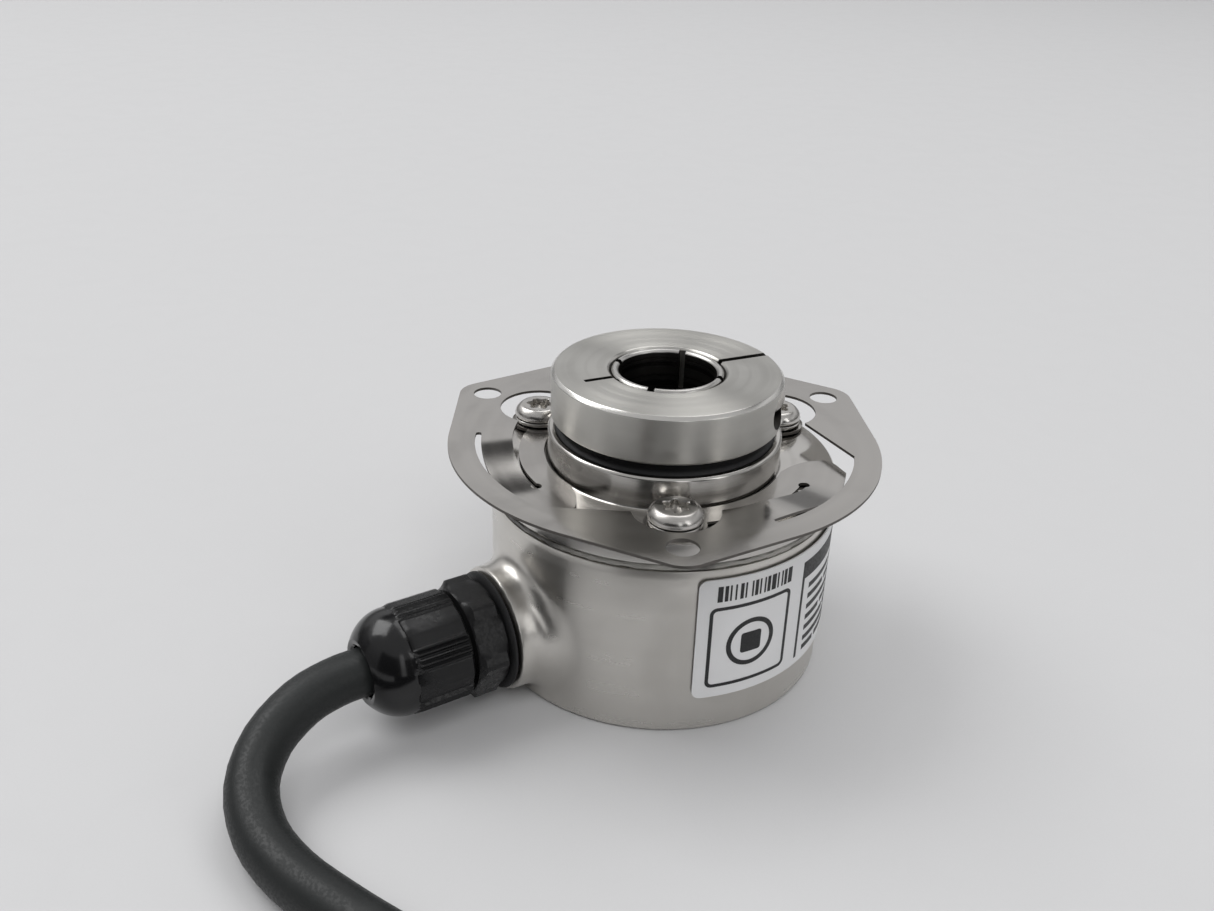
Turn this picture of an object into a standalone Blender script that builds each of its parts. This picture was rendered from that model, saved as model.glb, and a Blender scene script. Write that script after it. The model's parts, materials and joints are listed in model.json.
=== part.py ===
"""Hollow-shaft rotary encoder with a spring-sheet stator coupling and a cable gland.

Units are metres. The origin is the centre of the closed rear face, and +Z runs along
the shaft towards the clamp ring.
"""
import math

import bmesh
import bpy
from mathutils import Matrix, Vector

# ---------------------------------------------------------------- driving dimensions

GAP = 0.0003                    # between pieces that touch
THIN_GAP = 0.0002               # between the thin pieces stacked under a coupling screw
EDGE = 0.0003                   # broken edge of turned pieces
STEPS = 40                      # facets round a large turned piece
FINE_STEPS = 24                 # facets round a small turned piece
SMALL_STEPS = 16                # facets round a screw or washer
HOLE_STEPS = 12                 # facets round a small blind hole
CLAMP_HOLE_STEPS = 20           # facets round the clamp screw's hole
HEX_STEPS = 6                   # sides of a hexagon
SMOOTH_ANGLE = math.radians(30.0)

# Radii of the shaft, bearings and hub, each standing on the one inside it.
SHAFT_BORE_RADIUS = 0.0070
COLLET_WALL = 0.0010
SPINDLE_STEP = 0.0020
BEARING_SEAT_WALL = 0.0015
COLLAR_STEP = 0.0014
BEARING_SECTION = 0.0045
HUB_WALL = 0.0039
HUB_LIP = 0.0008
INNER_HUB_STEP = 0.0013
SHAFT_RADIUS = SHAFT_BORE_RADIUS + COLLET_WALL
SPINDLE_RADIUS = SHAFT_BORE_RADIUS - SPINDLE_STEP
BEARING_BORE_RADIUS = SHAFT_BORE_RADIUS + BEARING_SEAT_WALL
SHAFT_COLLAR_RADIUS = BEARING_BORE_RADIUS + COLLAR_STEP
BEARING_OUTER_RADIUS = BEARING_BORE_RADIUS + BEARING_SECTION
HUB_RADIUS = BEARING_OUTER_RADIUS + HUB_WALL
INNER_HUB_RADIUS = HUB_RADIUS - INNER_HUB_STEP
SEAL_RECESS_RADIUS = HUB_RADIUS - HUB_LIP

# The coupling screws stand clear of the hub, and the body ends outside them.
COUPLING_SCREW_RADIUS = 0.0018
COUPLING_SCREW_HEAD_RADIUS = 0.00375
COUPLING_SCREW_HEAD_HEIGHT = 0.0017
COUPLING_SCREW_CROWN = 0.72     # share of the head's radius that is flat on top
COUPLING_SCREW_SHOULDERS = ((0.93, 0.25), (1.0, 0.6))   # shares of its radius and height
COUPLING_SCREW_SOCKET_RADIUS = 0.0015
COUPLING_SCREW_SOCKET_DEPTH = 0.0010
WASHER_INSET = 0.00005          # of the washer from the head's edge
WASHER_THICKNESS = 0.0005
FIRST_SCREW_ANGLE = math.radians(35.8)
HUB_TO_HEAD = 0.00035
FLANGE_MARGIN = 0.0040
SCREW_CIRCLE_RADIUS = HUB_RADIUS + HUB_TO_HEAD + COUPLING_SCREW_HEAD_RADIUS
BODY_RADIUS = SCREW_CIRCLE_RADIUS + FLANGE_MARGIN
WASHER_RADIUS = COUPLING_SCREW_HEAD_RADIUS - WASHER_INSET

# Cable and gland, from the sheath outwards.
CABLE_RADIUS = 0.00335
GLAND_BORE_CLEARANCE = 0.00065
GLAND_THREAD_WALL = 0.0013
BOSS_WALL = 0.0034
BOSS_TO_REAR = 0.0013
NECK_WALL = 0.0022
NUT_WALL = 0.0015
DOME_EXIT_CLEARANCE = 0.00025
DOME_LIP = 0.0010
GLAND_BORE_RADIUS = CABLE_RADIUS + GLAND_BORE_CLEARANCE
GLAND_THREAD_RADIUS = GLAND_BORE_RADIUS + GLAND_THREAD_WALL
GLAND_NECK_RADIUS = GLAND_BORE_RADIUS + NECK_WALL
SEAL_POCKET_RADIUS = GLAND_BORE_RADIUS + GLAND_THREAD_WALL
NUT_BORE_RADIUS = GLAND_NECK_RADIUS + GAP
NUT_RADIUS = NUT_BORE_RADIUS + NUT_WALL
DOME_EXIT_RADIUS = CABLE_RADIUS + DOME_EXIT_CLEARANCE
DOME_LIP_RADIUS = DOME_EXIT_RADIUS + DOME_LIP
BOSS_BORE_RADIUS = GLAND_THREAD_RADIUS + GAP
BOSS_RADIUS = BOSS_BORE_RADIUS + BOSS_WALL
GLAND_HEX_RADIUS = BOSS_RADIUS - 0.0004
GASKET_RADIUS = BOSS_RADIUS - 0.0006
GLAND_ANGLE = math.radians(217.2)
GLAND_HEIGHT = BOSS_RADIUS + BOSS_TO_REAR

# Reaches along the gland's axis, from the encoder's axis.
BOSS_LENGTH = 0.0037
GASKET_THICKNESS = 0.0006
GLAND_HEX_LENGTH = 0.0046
GLAND_NECK_LENGTH = 0.0061
THREAD_IN_BODY = 0.0005
SEAL_POCKET_DEPTH = 0.0055
NUT_GAP = 0.0006
NUT_SIDES = 12
NUT_SIDES_LENGTH = 0.0082
NUT_BORE_PAST_SIDES = 0.0007
DOME_LENGTH = 0.0052
DOME_ARC_SPANS = 5
BOSS_REACH = BODY_RADIUS + BOSS_LENGTH
GLAND_THREAD_REACH = BODY_RADIUS - THREAD_IN_BODY
HEX_START = BOSS_REACH + GAP + GASKET_THICKNESS + GAP
NUT_START = HEX_START + GLAND_HEX_LENGTH + NUT_GAP
GLAND_NECK_REACH = NUT_START + GLAND_NECK_LENGTH
NUT_SIDES_REACH = NUT_START + NUT_SIDES_LENGTH
NUT_BORE_REACH = NUT_SIDES_REACH + NUT_BORE_PAST_SIDES
DOME_REACH = NUT_SIDES_REACH + DOME_LENGTH

# Heights, stacked from the gland up: leads, board, sensor, disc, shaft, bearings, hub.
LEADS_RADIUS = 0.0008
LEADS_SPANS = 6
BOARD_THICKNESS = 0.0016
SENSOR_SIZE = (0.0050, 0.0036, 0.0020)
SENSOR_AIR = 0.0009
DISC_THICKNESS = 0.0008
DISC_CLAMP_THICKNESS = 0.0010
SHAFT_FLOOR = 0.0023            # closes the hollow shaft's bore
SHAFT_PAST_CIRCLIP = 0.0014
CIRCLIP_THICKNESS = 0.0011
BEARING_WIDTH = 0.0050
BETWEEN_BEARINGS = 0.0029
BEARING_STOP_THICKNESS = 0.0006
SEAL_RECESS_DEPTH = 0.0013
HUB_HEIGHT = 0.0048
RIM_HEIGHT = 0.0034             # the flange's rim, above the seam
SEAM_HEIGHT = 0.0010            # open groove between the cup and the flange
BOARD_BOTTOM = GLAND_HEIGHT + LEADS_RADIUS + GAP
BOARD_TOP = BOARD_BOTTOM + BOARD_THICKNESS
DISC_BOTTOM = BOARD_TOP + GAP + SENSOR_SIZE[2] + SENSOR_AIR
DISC_CLAMP_BOTTOM = DISC_BOTTOM - GAP - DISC_CLAMP_THICKNESS
SHAFT_FACE = DISC_BOTTOM + DISC_THICKNESS + GAP
BORE_FLOOR = SHAFT_FACE + SHAFT_FLOOR
CIRCLIP_GROOVE_BOTTOM = SHAFT_FACE + SHAFT_PAST_CIRCLIP
REAR_BEARING_BOTTOM = CIRCLIP_GROOVE_BOTTOM + CIRCLIP_THICKNESS + 2 * GAP
FRONT_BEARING_BOTTOM = REAR_BEARING_BOTTOM + BEARING_WIDTH + BETWEEN_BEARINGS
COLLAR_BOTTOM = FRONT_BEARING_BOTTOM + BEARING_WIDTH + GAP
SEAL_FLOOR = COLLAR_BOTTOM + BEARING_STOP_THICKNESS
HUB_TOP = SEAL_FLOOR + SEAL_RECESS_DEPTH
FLANGE_TOP = HUB_TOP - HUB_HEIGHT
RIM_BOTTOM = FLANGE_TOP - RIM_HEIGHT
CUP_HEIGHT = RIM_BOTTOM - SEAM_HEIGHT

# Cup, flange and seam.
CUP_WALL = 0.0015
CUP_FLOOR = 0.0015
CUP_CORNER = 0.0008
CUP_CORNER_SPANS = 4
SEALANT_HEIGHT = 0.0004
SEALANT_DEPTH = 0.0008
O_RING_GROOVE_HEIGHT = 0.0018
O_RING_GROOVE_DEPTH = 0.0016
O_RING_LAND = 0.0010            # below the groove
O_RING_TO_RIM = 0.0011
INNER_HUB_PAST_BEARING = 0.0018
SPIGOT_BOTTOM = RIM_BOTTOM - O_RING_TO_RIM - O_RING_GROOVE_HEIGHT - O_RING_LAND
O_RING_GROOVE_BOTTOM = SPIGOT_BOTTOM + O_RING_LAND
INNER_HUB_BOTTOM = REAR_BEARING_BOTTOM - INNER_HUB_PAST_BEARING
COUPLING_SCREW_DEPTH = RIM_HEIGHT + 0.0006   # below the flange's face

# Clamp ring over the shaft's slotted end.
CLAMP_HEIGHT = 0.0071
CLAMP_TO_HUB = 0.0017
CLAMP_WALL = 0.0085
CLAMP_CHAMFER = 0.0005
CLAMP_SPLIT_ANGLE = math.radians(28.0)
CLAMP_SPLIT_WIDTH = 0.0010
CLAMP_RELIEF_WIDTH = 0.0006
CLAMP_RELIEF_LENGTH = 0.0045
CLAMP_SEAL_CLEARANCE = 0.0004
CLAMP_SCREW_RADIUS = 0.0015
CLAMP_SCREW_TO_BORE = 0.0046    # from the ring's bore to the screw's axis
CLAMP_SCREW_COVER = 0.00095     # of the ring above and below the screw's head
CLAMP_SCREW_HEAD_HEIGHT = 0.0028
CLAMP_SCREW_HEAD_SEAT = 0.0045  # from the split's middle plane to the head's seat
CLAMP_SCREW_REACH = 0.0062      # from the split's middle plane to the screw's tip
COLLET_SLOT_WIDTH = 0.0008
COLLET_SLOT_ANGLE = math.radians(74.0)
COLLET_SLOT_TO_COLLAR = 0.0009
CLAMP_RADIUS = SHAFT_RADIUS + CLAMP_WALL
CLAMP_SCREW_OFFSET = SHAFT_RADIUS + CLAMP_SCREW_TO_BORE
CLAMP_SCREW_HEAD_RADIUS = CLAMP_HEIGHT / 2 - CLAMP_SCREW_COVER
COLLET_SLOT_DEPTH = CLAMP_HEIGHT - COLLET_SLOT_TO_COLLAR
SHAFT_TOP = HUB_TOP + CLAMP_TO_HUB + CLAMP_HEIGHT
SHAFT_TO_COLLAR = SHAFT_TOP - CLAMP_HEIGHT - GAP

# Bearings.
BALL_TRACK_WIDTH = 0.0022       # between the inner and outer rings
BEARING_WALL = (BEARING_SECTION - BALL_TRACK_WIDTH) / 2
BALL_RADIUS = 0.0011
BALL_COUNT = 8
BALL_SEGMENTS = 6
BALL_RINGS = 4
BALL_CIRCLE_RADIUS = (BEARING_BORE_RADIUS + BEARING_OUTER_RADIUS) / 2
CAGE_HALF_THICKNESS = 0.0003
CAGE_HALF_HEIGHT = 0.0016
CIRCLIP_SECTION = 0.0017
CIRCLIP_GROOVE_DEPTH = 0.0005
CIRCLIP_OPENING = math.radians(50.0)
CIRCLIP_RADIUS = BEARING_BORE_RADIUS + CIRCLIP_SECTION
WAVE_COUNT = 3
WAVE_THICKNESS = 0.0004
WAVE_CLEARANCE = 0.00065
WAVE_HEIGHT = (BETWEEN_BEARINGS - WAVE_THICKNESS) / 2 - WAVE_CLEARANCE

# Spring sheet, from the hub outwards; sector angles are counted from a screw.
SHEET_THICKNESS = 0.0004
SHEET_LIFT = 0.0021             # from the low tabs to the raised ring
HUB_TO_LEAF = 0.0005
LEAF_WIDTH = 0.0041
BEAM_WIDTH = 0.0054
RING_WIDTH = 0.0043
SHEET_TO_MOUNTING = 0.0007
MOUNTING_HOLE_RADIUS = 0.00215
CORNER_RADIUS = 0.0043
HEAD_TO_TAB_EDGE = 0.00045
TAB_TO_CUT_OUT = 0.0018
SLOT_HALF_WIDTH = 0.00045
KEYHOLE_RADIUS = 0.0008
LEAF_INNER_RADIUS = HUB_RADIUS + HUB_TO_LEAF
INNER_SLOT_RADIUS = LEAF_INNER_RADIUS + LEAF_WIDTH
OUTER_SLOT_RADIUS = INNER_SLOT_RADIUS + BEAM_WIDTH
SHEET_RADIUS = OUTER_SLOT_RADIUS + RING_WIDTH
MOUNTING_CIRCLE_RADIUS = SHEET_RADIUS - SHEET_TO_MOUNTING
TAB_RADIUS = COUPLING_SCREW_HEAD_RADIUS + HEAD_TO_TAB_EDGE
TAB_HOLE_RADIUS = COUPLING_SCREW_RADIUS + GAP
CUT_OUT_RADIUS = TAB_RADIUS + TAB_TO_CUT_OUT
INNER_SLOT_END = math.radians(61.5)
OUTER_SLOT_START = math.radians(28.5)
CUT_OUT_TO_SLOT = 0.04          # radians, eases the cut-out into the slot
SLOT_TO_ROUND_END = 0.03        # radians, before a slot's round end
WINDOW_START = math.radians(79.0)
WINDOW_END = math.radians(104.0)
WINDOW_END_RADIUS = INNER_SLOT_RADIUS + 0.0011
LEAF_CORNER_ANGLE = math.radians(76.0)
LEAF_EDGE_END = math.radians(69.0)
LEAF_END = ((0.0012, 76.0), (0.0028, 80.5), (0.0045, 82.8), (0.0068, 83.2))   # past the inner edge, degrees
WINDOW_CORNER = 0.0052          # past this from the slot's line the window's side is low
BEND_ANGLE = math.radians(48.0)
BEND_LENGTH = 0.0060
BEND_REACH = 0.0080             # round the bend's middle
TAB_BOTTOM = FLANGE_TOP + THIN_GAP
WASHER_BOTTOM = TAB_BOTTOM + SHEET_THICKNESS + THIN_GAP
HEAD_BOTTOM = WASHER_BOTTOM + WASHER_THICKNESS + THIN_GAP

# Label.
LABEL_THICKNESS = 0.0002
LABEL_BOTTOM = 0.0060
LABEL_TO_SEAM = 0.0013
LABEL_HEIGHT = CUP_HEIGHT - LABEL_BOTTOM - LABEL_TO_SEAM
LABEL_START = math.radians(-77.0)
LABEL_LENGTH = 0.0600
LABEL_COLUMNS = 24

# Board, spacers, disc, sensor and terminals.
BOARD_TO_CUP = 0.0025
SPACER_TO_BOARD_EDGE = 0.0025
SPACER_RADIUS = 0.0021
SPACER_STUD_RADIUS = 0.0012
SPACER_STUD_LENGTH = 0.0022
SPACER_BORE_RADIUS = 0.0012
SPACER_BORE_DEPTH = 0.0040
SPACER_FROM_GLAND = math.radians(40.0)
BOARD_SCREW_RADIUS = SPACER_BORE_RADIUS - GAP
BOARD_SCREW_HEAD_RADIUS = 0.0018
BOARD_SCREW_HEAD_HEIGHT = 0.0012
DISC_TO_SPACER = 0.0012
DISC_CLAMP_WALL = 0.0030
SENSOR_IN_DISC = 0.0024
EMITTER_IN_DISC = 0.0038
TERMINAL_IN_DISC = 0.0052
EMITTER_ANGLE = math.radians(90.0)
EMITTER_WIDTH = 0.0060
EMITTER_ARM_HEIGHT = 0.0009
TERMINAL_SIZE = (0.0060, 0.0100, 0.0046)
SHEATH_PAST_BOARD = 0.0016
BOARD_RADIUS = BODY_RADIUS - CUP_WALL - BOARD_TO_CUP
SPACER_CIRCLE_RADIUS = BOARD_RADIUS - SPACER_TO_BOARD_EDGE
FIRST_SPACER_ANGLE = GLAND_ANGLE + SPACER_FROM_GLAND
DISC_RADIUS = SPACER_CIRCLE_RADIUS - SPACER_RADIUS - DISC_TO_SPACER
DISC_CLAMP_RADIUS = SPINDLE_RADIUS + DISC_CLAMP_WALL
SENSOR_RADIUS = DISC_RADIUS - SENSOR_IN_DISC
EMITTER_REACH = DISC_RADIUS - EMITTER_IN_DISC   # radius of the arm's inner end
TERMINAL_RADIUS = DISC_RADIUS - TERMINAL_IN_DISC
SHEATH_END_REACH = BOARD_RADIUS + SHEATH_PAST_BOARD

# Free cable: its line was chosen by hand, and the rest of its length lies in the coil.
FLOOR_CLEARANCE = 0.0001
TUBE_RESOLUTION = 3
COIL_CENTRE = (0.0020, -0.1170)
COIL_MIDDLE_RADIUS = 0.0360
COIL_LAYERS = 2
COIL_HALF_WIDTH = 2 * CABLE_RADIUS
COIL_HEIGHT = 2 * CABLE_RADIUS * COIL_LAYERS
LEAD_FAN_RADIUS = 0.0016
LEAD_FAN_POINTS = 9
LEAD_FAN_START = math.radians(175.0)
LEAD_FAN_END = math.radians(235.0)
CABLE_ROUTE = (
    (-0.0389, -0.0295, 0.0103),
    (-0.0417, -0.0318, 0.0102),
    (-0.0450, -0.0354, 0.0095),
    (-0.0477, -0.0410, 0.0078),
    (-0.0479, -0.0471, 0.0057),
    (-0.0449, -0.0532, 0.0042),
    (-0.0397, -0.0583, 0.0036),
    (-0.0330, -0.0627, 0.0035),
    (-0.0265, -0.0664, 0.0035),
    (-0.0197, -0.0698, 0.0035),
    (-0.0130, -0.0727, 0.0035),
)


# ---------------------------------------------------------------- tools

def clear_scene():
    """Remove every object of the open scene."""
    for old in list(bpy.data.objects):
        bpy.data.objects.remove(old, do_unlink=True)


def new_collection(name):
    """Make a collection under the scene's own."""
    collection = bpy.data.collections.new(name)
    bpy.context.scene.collection.children.link(collection)
    return collection


def finish(name, colour, roughness, metallic):
    """Make a plain Principled material."""
    material = bpy.data.materials.new(name)
    material.use_nodes = True
    shader = material.node_tree.nodes["Principled BSDF"]
    shader.inputs["Base Color"].default_value = (*colour, 1.0)
    shader.inputs["Roughness"].default_value = roughness
    shader.inputs["Metallic"].default_value = metallic
    return material


def smooth(mesh):
    """Shade a mesh smooth except over sharp edges."""
    mesh.shade_smooth()
    mesh.set_sharp_from_angle(angle=SMOOTH_ANGLE)


def place(name, mesh, material, parent=None):
    """Link a mesh as a named part."""
    part = bpy.data.objects.new(name, mesh)
    PARTS.objects.link(part)
    mesh.materials.clear()
    mesh.materials.append(material)
    smooth(mesh)
    part.parent = parent
    return part


def as_cutter(name, mesh, parent=None):
    """Link a mesh as a hidden tool for Boolean modifiers."""
    cutter = bpy.data.objects.new(name, mesh)
    CUTTERS.objects.link(cutter)
    cutter.hide_render = True
    cutter.display_type = "WIRE"
    cutter.parent = parent
    return cutter


def boolean(part, tool, operation="DIFFERENCE"):
    """Cut a part with a tool, or join the tool to it."""
    modifier = part.modifiers.new(tool.name, "BOOLEAN")
    modifier.operation = operation
    modifier.object = tool
    modifier.solver = "EXACT"


def screw_modifier(part, steps):
    """Turn a profile about the part's Z axis."""
    modifier = part.modifiers.new("turn", "SCREW")
    modifier.axis = "Z"
    modifier.angle = math.tau
    modifier.steps = steps
    modifier.render_steps = steps
    modifier.use_merge_vertices = True
    modifier.merge_threshold = 0.00001
    modifier.use_smooth_shade = True


def profile_mesh(name, profile, closed):
    """Make a chain of edges in the XZ plane from (radius, height) pairs."""
    mesh = bpy.data.meshes.new(name)
    verts = [(radius, 0.0, height) for radius, height in profile]
    edges = [(i, i + 1) for i in range(len(verts) - 1)]
    if closed:
        edges.append((len(verts) - 1, 0))
    mesh.from_pydata(verts, edges, [])
    return mesh


def turned(name, profile, material, steps=STEPS, parent=None):
    """Make a turned part; a profile that leaves the axis and returns to it is solid."""
    closed = profile[0][0] > 0.0
    part = place(name, profile_mesh(name, profile, closed), material, parent)
    screw_modifier(part, steps)
    return part


def turned_cutter(name, profile, steps=STEPS, parent=None):
    """Make a turned tool."""
    closed = profile[0][0] > 0.0
    cutter = as_cutter(name, profile_mesh(name, profile, closed), parent)
    screw_modifier(cutter, steps)
    return cutter


def ring_profile(inner, outer, bottom, top, edge=0.0):
    """Outline of a flat ring, down its outer side, with broken outer edges."""
    if edge == 0.0:
        return [(outer, top), (outer, bottom), (inner, bottom), (inner, top)]
    return [(outer - edge, top), (outer, top - edge), (outer, bottom + edge),
            (outer - edge, bottom), (inner, bottom), (inner, top)]


def rod_profile(radius, bottom, top, edge=0.0):
    """Outline of a solid rod from its top centre to its bottom centre."""
    if edge == 0.0:
        return [(0.0, top), (radius, top), (radius, bottom), (0.0, bottom)]
    return [(0.0, top), (radius - edge, top), (radius, top - edge), (radius, bottom + edge),
            (radius - edge, bottom), (0.0, bottom)]


def arc(centre, radius, start, end, count):
    """Points on an arc in a plane, both ends included."""
    return [(centre[0] + radius * math.cos(start + (end - start) * i / (count - 1)),
             centre[1] + radius * math.sin(start + (end - start) * i / (count - 1)))
            for i in range(count)]


def box_mesh(name, low, high, matrix=None):
    """Make a box between two corners, placed by a matrix."""
    mesh = bpy.data.meshes.new(name)
    solid = bmesh.new()
    bmesh.ops.create_cube(solid, size=1.0)
    size = Vector(high) - Vector(low)
    middle = (Vector(high) + Vector(low)) / 2
    bmesh.ops.scale(solid, vec=size, verts=solid.verts)
    bmesh.ops.translate(solid, vec=middle, verts=solid.verts)
    if matrix is not None:
        bmesh.ops.transform(solid, matrix=matrix, verts=solid.verts)
    solid.to_mesh(mesh)
    solid.free()
    return mesh


def rod_mesh(name, radius, start, end, segments, matrix=None):
    """Make a cylinder or prism between two heights on Z, placed by a matrix."""
    mesh = bpy.data.meshes.new(name)
    solid = bmesh.new()
    bmesh.ops.create_cone(solid, cap_ends=True, segments=segments, radius1=radius,
                          radius2=radius, depth=end - start)
    bmesh.ops.translate(solid, vec=(0.0, 0.0, (start + end) / 2), verts=solid.verts)
    if matrix is not None:
        bmesh.ops.transform(solid, matrix=matrix, verts=solid.verts)
    solid.to_mesh(mesh)
    solid.free()
    return mesh


def curve_to_mesh(curve_object):
    """Turn a filled curve into a closed mesh and remove the curve."""
    bpy.context.view_layer.update()
    graph = bpy.context.evaluated_depsgraph_get()
    mesh = bpy.data.meshes.new_from_object(curve_object.evaluated_get(graph))
    solid = bmesh.new()
    solid.from_mesh(mesh)
    bmesh.ops.remove_doubles(solid, verts=solid.verts, dist=0.000001)
    bmesh.ops.recalc_face_normals(solid, faces=solid.faces)
    solid.to_mesh(mesh)
    solid.free()
    bpy.data.objects.remove(curve_object, do_unlink=True)
    return mesh


def sheet_mesh(name, loops, thickness):
    """Make a flat plate on Z = 0 upwards from an outline and its holes."""
    curve = bpy.data.curves.new(name, "CURVE")
    curve.dimensions = "2D"
    curve.fill_mode = "BOTH"
    curve.extrude = thickness / 2
    for loop in loops:
        spline = curve.splines.new("POLY")
        spline.points.add(len(loop) - 1)
        for point, (x, y) in zip(spline.points, loop):
            point.co = (x, y, 0.0, 1.0)
        spline.use_cyclic_u = True
    flat = bpy.data.objects.new(name, curve)
    PARTS.objects.link(flat)
    mesh = curve_to_mesh(flat)
    mesh.transform(Matrix.Translation((0.0, 0.0, thickness / 2)))
    return mesh


def tube(name, points, radius, material, parent=None):
    """Make a round tube along points."""
    curve = bpy.data.curves.new(name, "CURVE")
    curve.dimensions = "3D"
    curve.bevel_depth = radius
    curve.bevel_resolution = TUBE_RESOLUTION
    curve.use_fill_caps = True
    spline = curve.splines.new("POLY")
    spline.points.add(len(points) - 1)
    for point, place_at in zip(spline.points, points):
        point.co = (*place_at, 1.0)
    part = bpy.data.objects.new(name, curve)
    PARTS.objects.link(part)
    curve.materials.append(material)
    part.parent = parent
    return part


def turn(angle):
    """Rotation about Z."""
    return Matrix.Rotation(angle, 4, "Z")


def polar(radius, angle):
    """Point in a plane from its radius and angle."""
    return (radius * math.cos(angle), radius * math.sin(angle))


# ---------------------------------------------------------------- housing

def housing_cup(steel, gland_axis):
    """Closed stainless cup with its welded boss for the gland."""
    corner = arc((BODY_RADIUS - CUP_CORNER, CUP_CORNER), CUP_CORNER, 0.0, -math.pi / 2, CUP_CORNER_SPANS + 1)
    cup = turned("housing_cup", [(0.0, CUP_HEIGHT), (BODY_RADIUS, CUP_HEIGHT), *corner, (0.0, 0.0)], steel)
    boss = as_cutter("boss_blank", rod_mesh("boss_blank", BOSS_RADIUS, BODY_RADIUS / 2,
                                            BOSS_REACH, FINE_STEPS), gland_axis)
    boolean(cup, boss, "UNION")
    cavity_radius = BODY_RADIUS - CUP_WALL
    cavity = turned_cutter("cup_cavity", rod_profile(cavity_radius, CUP_FLOOR, CUP_HEIGHT + CUP_WALL))
    boolean(cup, cavity)
    bore = as_cutter("boss_bore", rod_mesh("boss_bore", BOSS_BORE_RADIUS, BODY_RADIUS / 2,
                                           BOSS_REACH + CUP_WALL, FINE_STEPS), gland_axis)
    boolean(cup, bore)


def front_flange(steel):
    """Turned front flange: rim, hub, bearing seat and seal recess."""
    spigot_radius = BODY_RADIUS - CUP_WALL - GAP
    groove_radius = spigot_radius - O_RING_GROOVE_DEPTH
    groove_top = O_RING_GROOVE_BOTTOM + O_RING_GROOVE_HEIGHT
    profile = [
        (HUB_RADIUS - EDGE, HUB_TOP),
        (HUB_RADIUS, HUB_TOP - EDGE),
        (HUB_RADIUS, FLANGE_TOP),
        (BODY_RADIUS - EDGE, FLANGE_TOP),
        (BODY_RADIUS, FLANGE_TOP - EDGE),
        (BODY_RADIUS, RIM_BOTTOM),
        (spigot_radius, RIM_BOTTOM),
        (spigot_radius, groove_top),
        (groove_radius, groove_top),
        (groove_radius, O_RING_GROOVE_BOTTOM),
        (spigot_radius, O_RING_GROOVE_BOTTOM),
        (spigot_radius, SPIGOT_BOTTOM),
        (INNER_HUB_RADIUS, SPIGOT_BOTTOM),
        (INNER_HUB_RADIUS, INNER_HUB_BOTTOM),
        (BEARING_OUTER_RADIUS, INNER_HUB_BOTTOM),
        (BEARING_OUTER_RADIUS, COLLAR_BOTTOM),
        (BEARING_OUTER_RADIUS - BEARING_WALL, COLLAR_BOTTOM),
        (BEARING_OUTER_RADIUS - BEARING_WALL, SEAL_FLOOR),
        (SEAL_RECESS_RADIUS, SEAL_FLOOR),
        (SEAL_RECESS_RADIUS, HUB_TOP),
    ]
    flange = turned("front_flange", profile, steel)
    for i in range(3):
        x, y = polar(SCREW_CIRCLE_RADIUS, FIRST_SCREW_ANGLE + i * math.tau / 3)
        tapped = rod_mesh(f"coupling_screw_hole_{i}", COUPLING_SCREW_RADIUS + GAP,
                          FLANGE_TOP - COUPLING_SCREW_DEPTH - GAP, FLANGE_TOP + EDGE, HOLE_STEPS,
                          Matrix.Translation((x, y, 0.0)))
        boolean(flange, as_cutter(f"coupling_screw_hole_{i}", tapped))
        x, y = polar(SPACER_CIRCLE_RADIUS, FIRST_SPACER_ANGLE + i * math.tau / 3)
        stud_hole = rod_mesh(f"spacer_hole_{i}", SPACER_STUD_RADIUS + GAP, SPIGOT_BOTTOM - EDGE,
                             SPIGOT_BOTTOM + SPACER_STUD_LENGTH + GAP, HOLE_STEPS,
                             Matrix.Translation((x, y, 0.0)))
        boolean(flange, as_cutter(f"spacer_hole_{i}", stud_hole))


def housing_seals(rubber, sealant):
    """O-ring in the spigot's groove, the bead in the seam, and the shaft seal."""
    bore = BODY_RADIUS - CUP_WALL
    groove_radius = bore - GAP - O_RING_GROOVE_DEPTH
    section = (bore - groove_radius) / 2 - GAP
    middle = (groove_radius + bore) / 2
    height = O_RING_GROOVE_BOTTOM + O_RING_GROOVE_HEIGHT / 2
    section = min(section, O_RING_GROOVE_HEIGHT / 2 - GAP)
    circle = arc((middle, height), section, 0.0, -math.tau * 5 / 6, 6)
    turned("housing_o_ring", circle, rubber)
    seam_middle = CUP_HEIGHT + SEAM_HEIGHT / 2
    half = SEALANT_HEIGHT / 2
    turned("seam_sealant", ring_profile(BODY_RADIUS - SEALANT_DEPTH, BODY_RADIUS, seam_middle - half,
                                        seam_middle + half), sealant)
    seal_top = SHAFT_TO_COLLAR - CLAMP_SEAL_CLEARANCE + GAP
    seal_bottom = SEAL_FLOOR + GAP
    outer = SEAL_RECESS_RADIUS - GAP
    lip = SHAFT_COLLAR_RADIUS + GAP
    shoulder = (seal_top + HUB_TOP) / 2
    turned("shaft_seal", [(outer - EDGE, seal_top), (outer, shoulder), (outer, seal_bottom),
                          (lip, seal_bottom), (lip, seal_top)], rubber)


# ---------------------------------------------------------------- shaft and bearings

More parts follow.
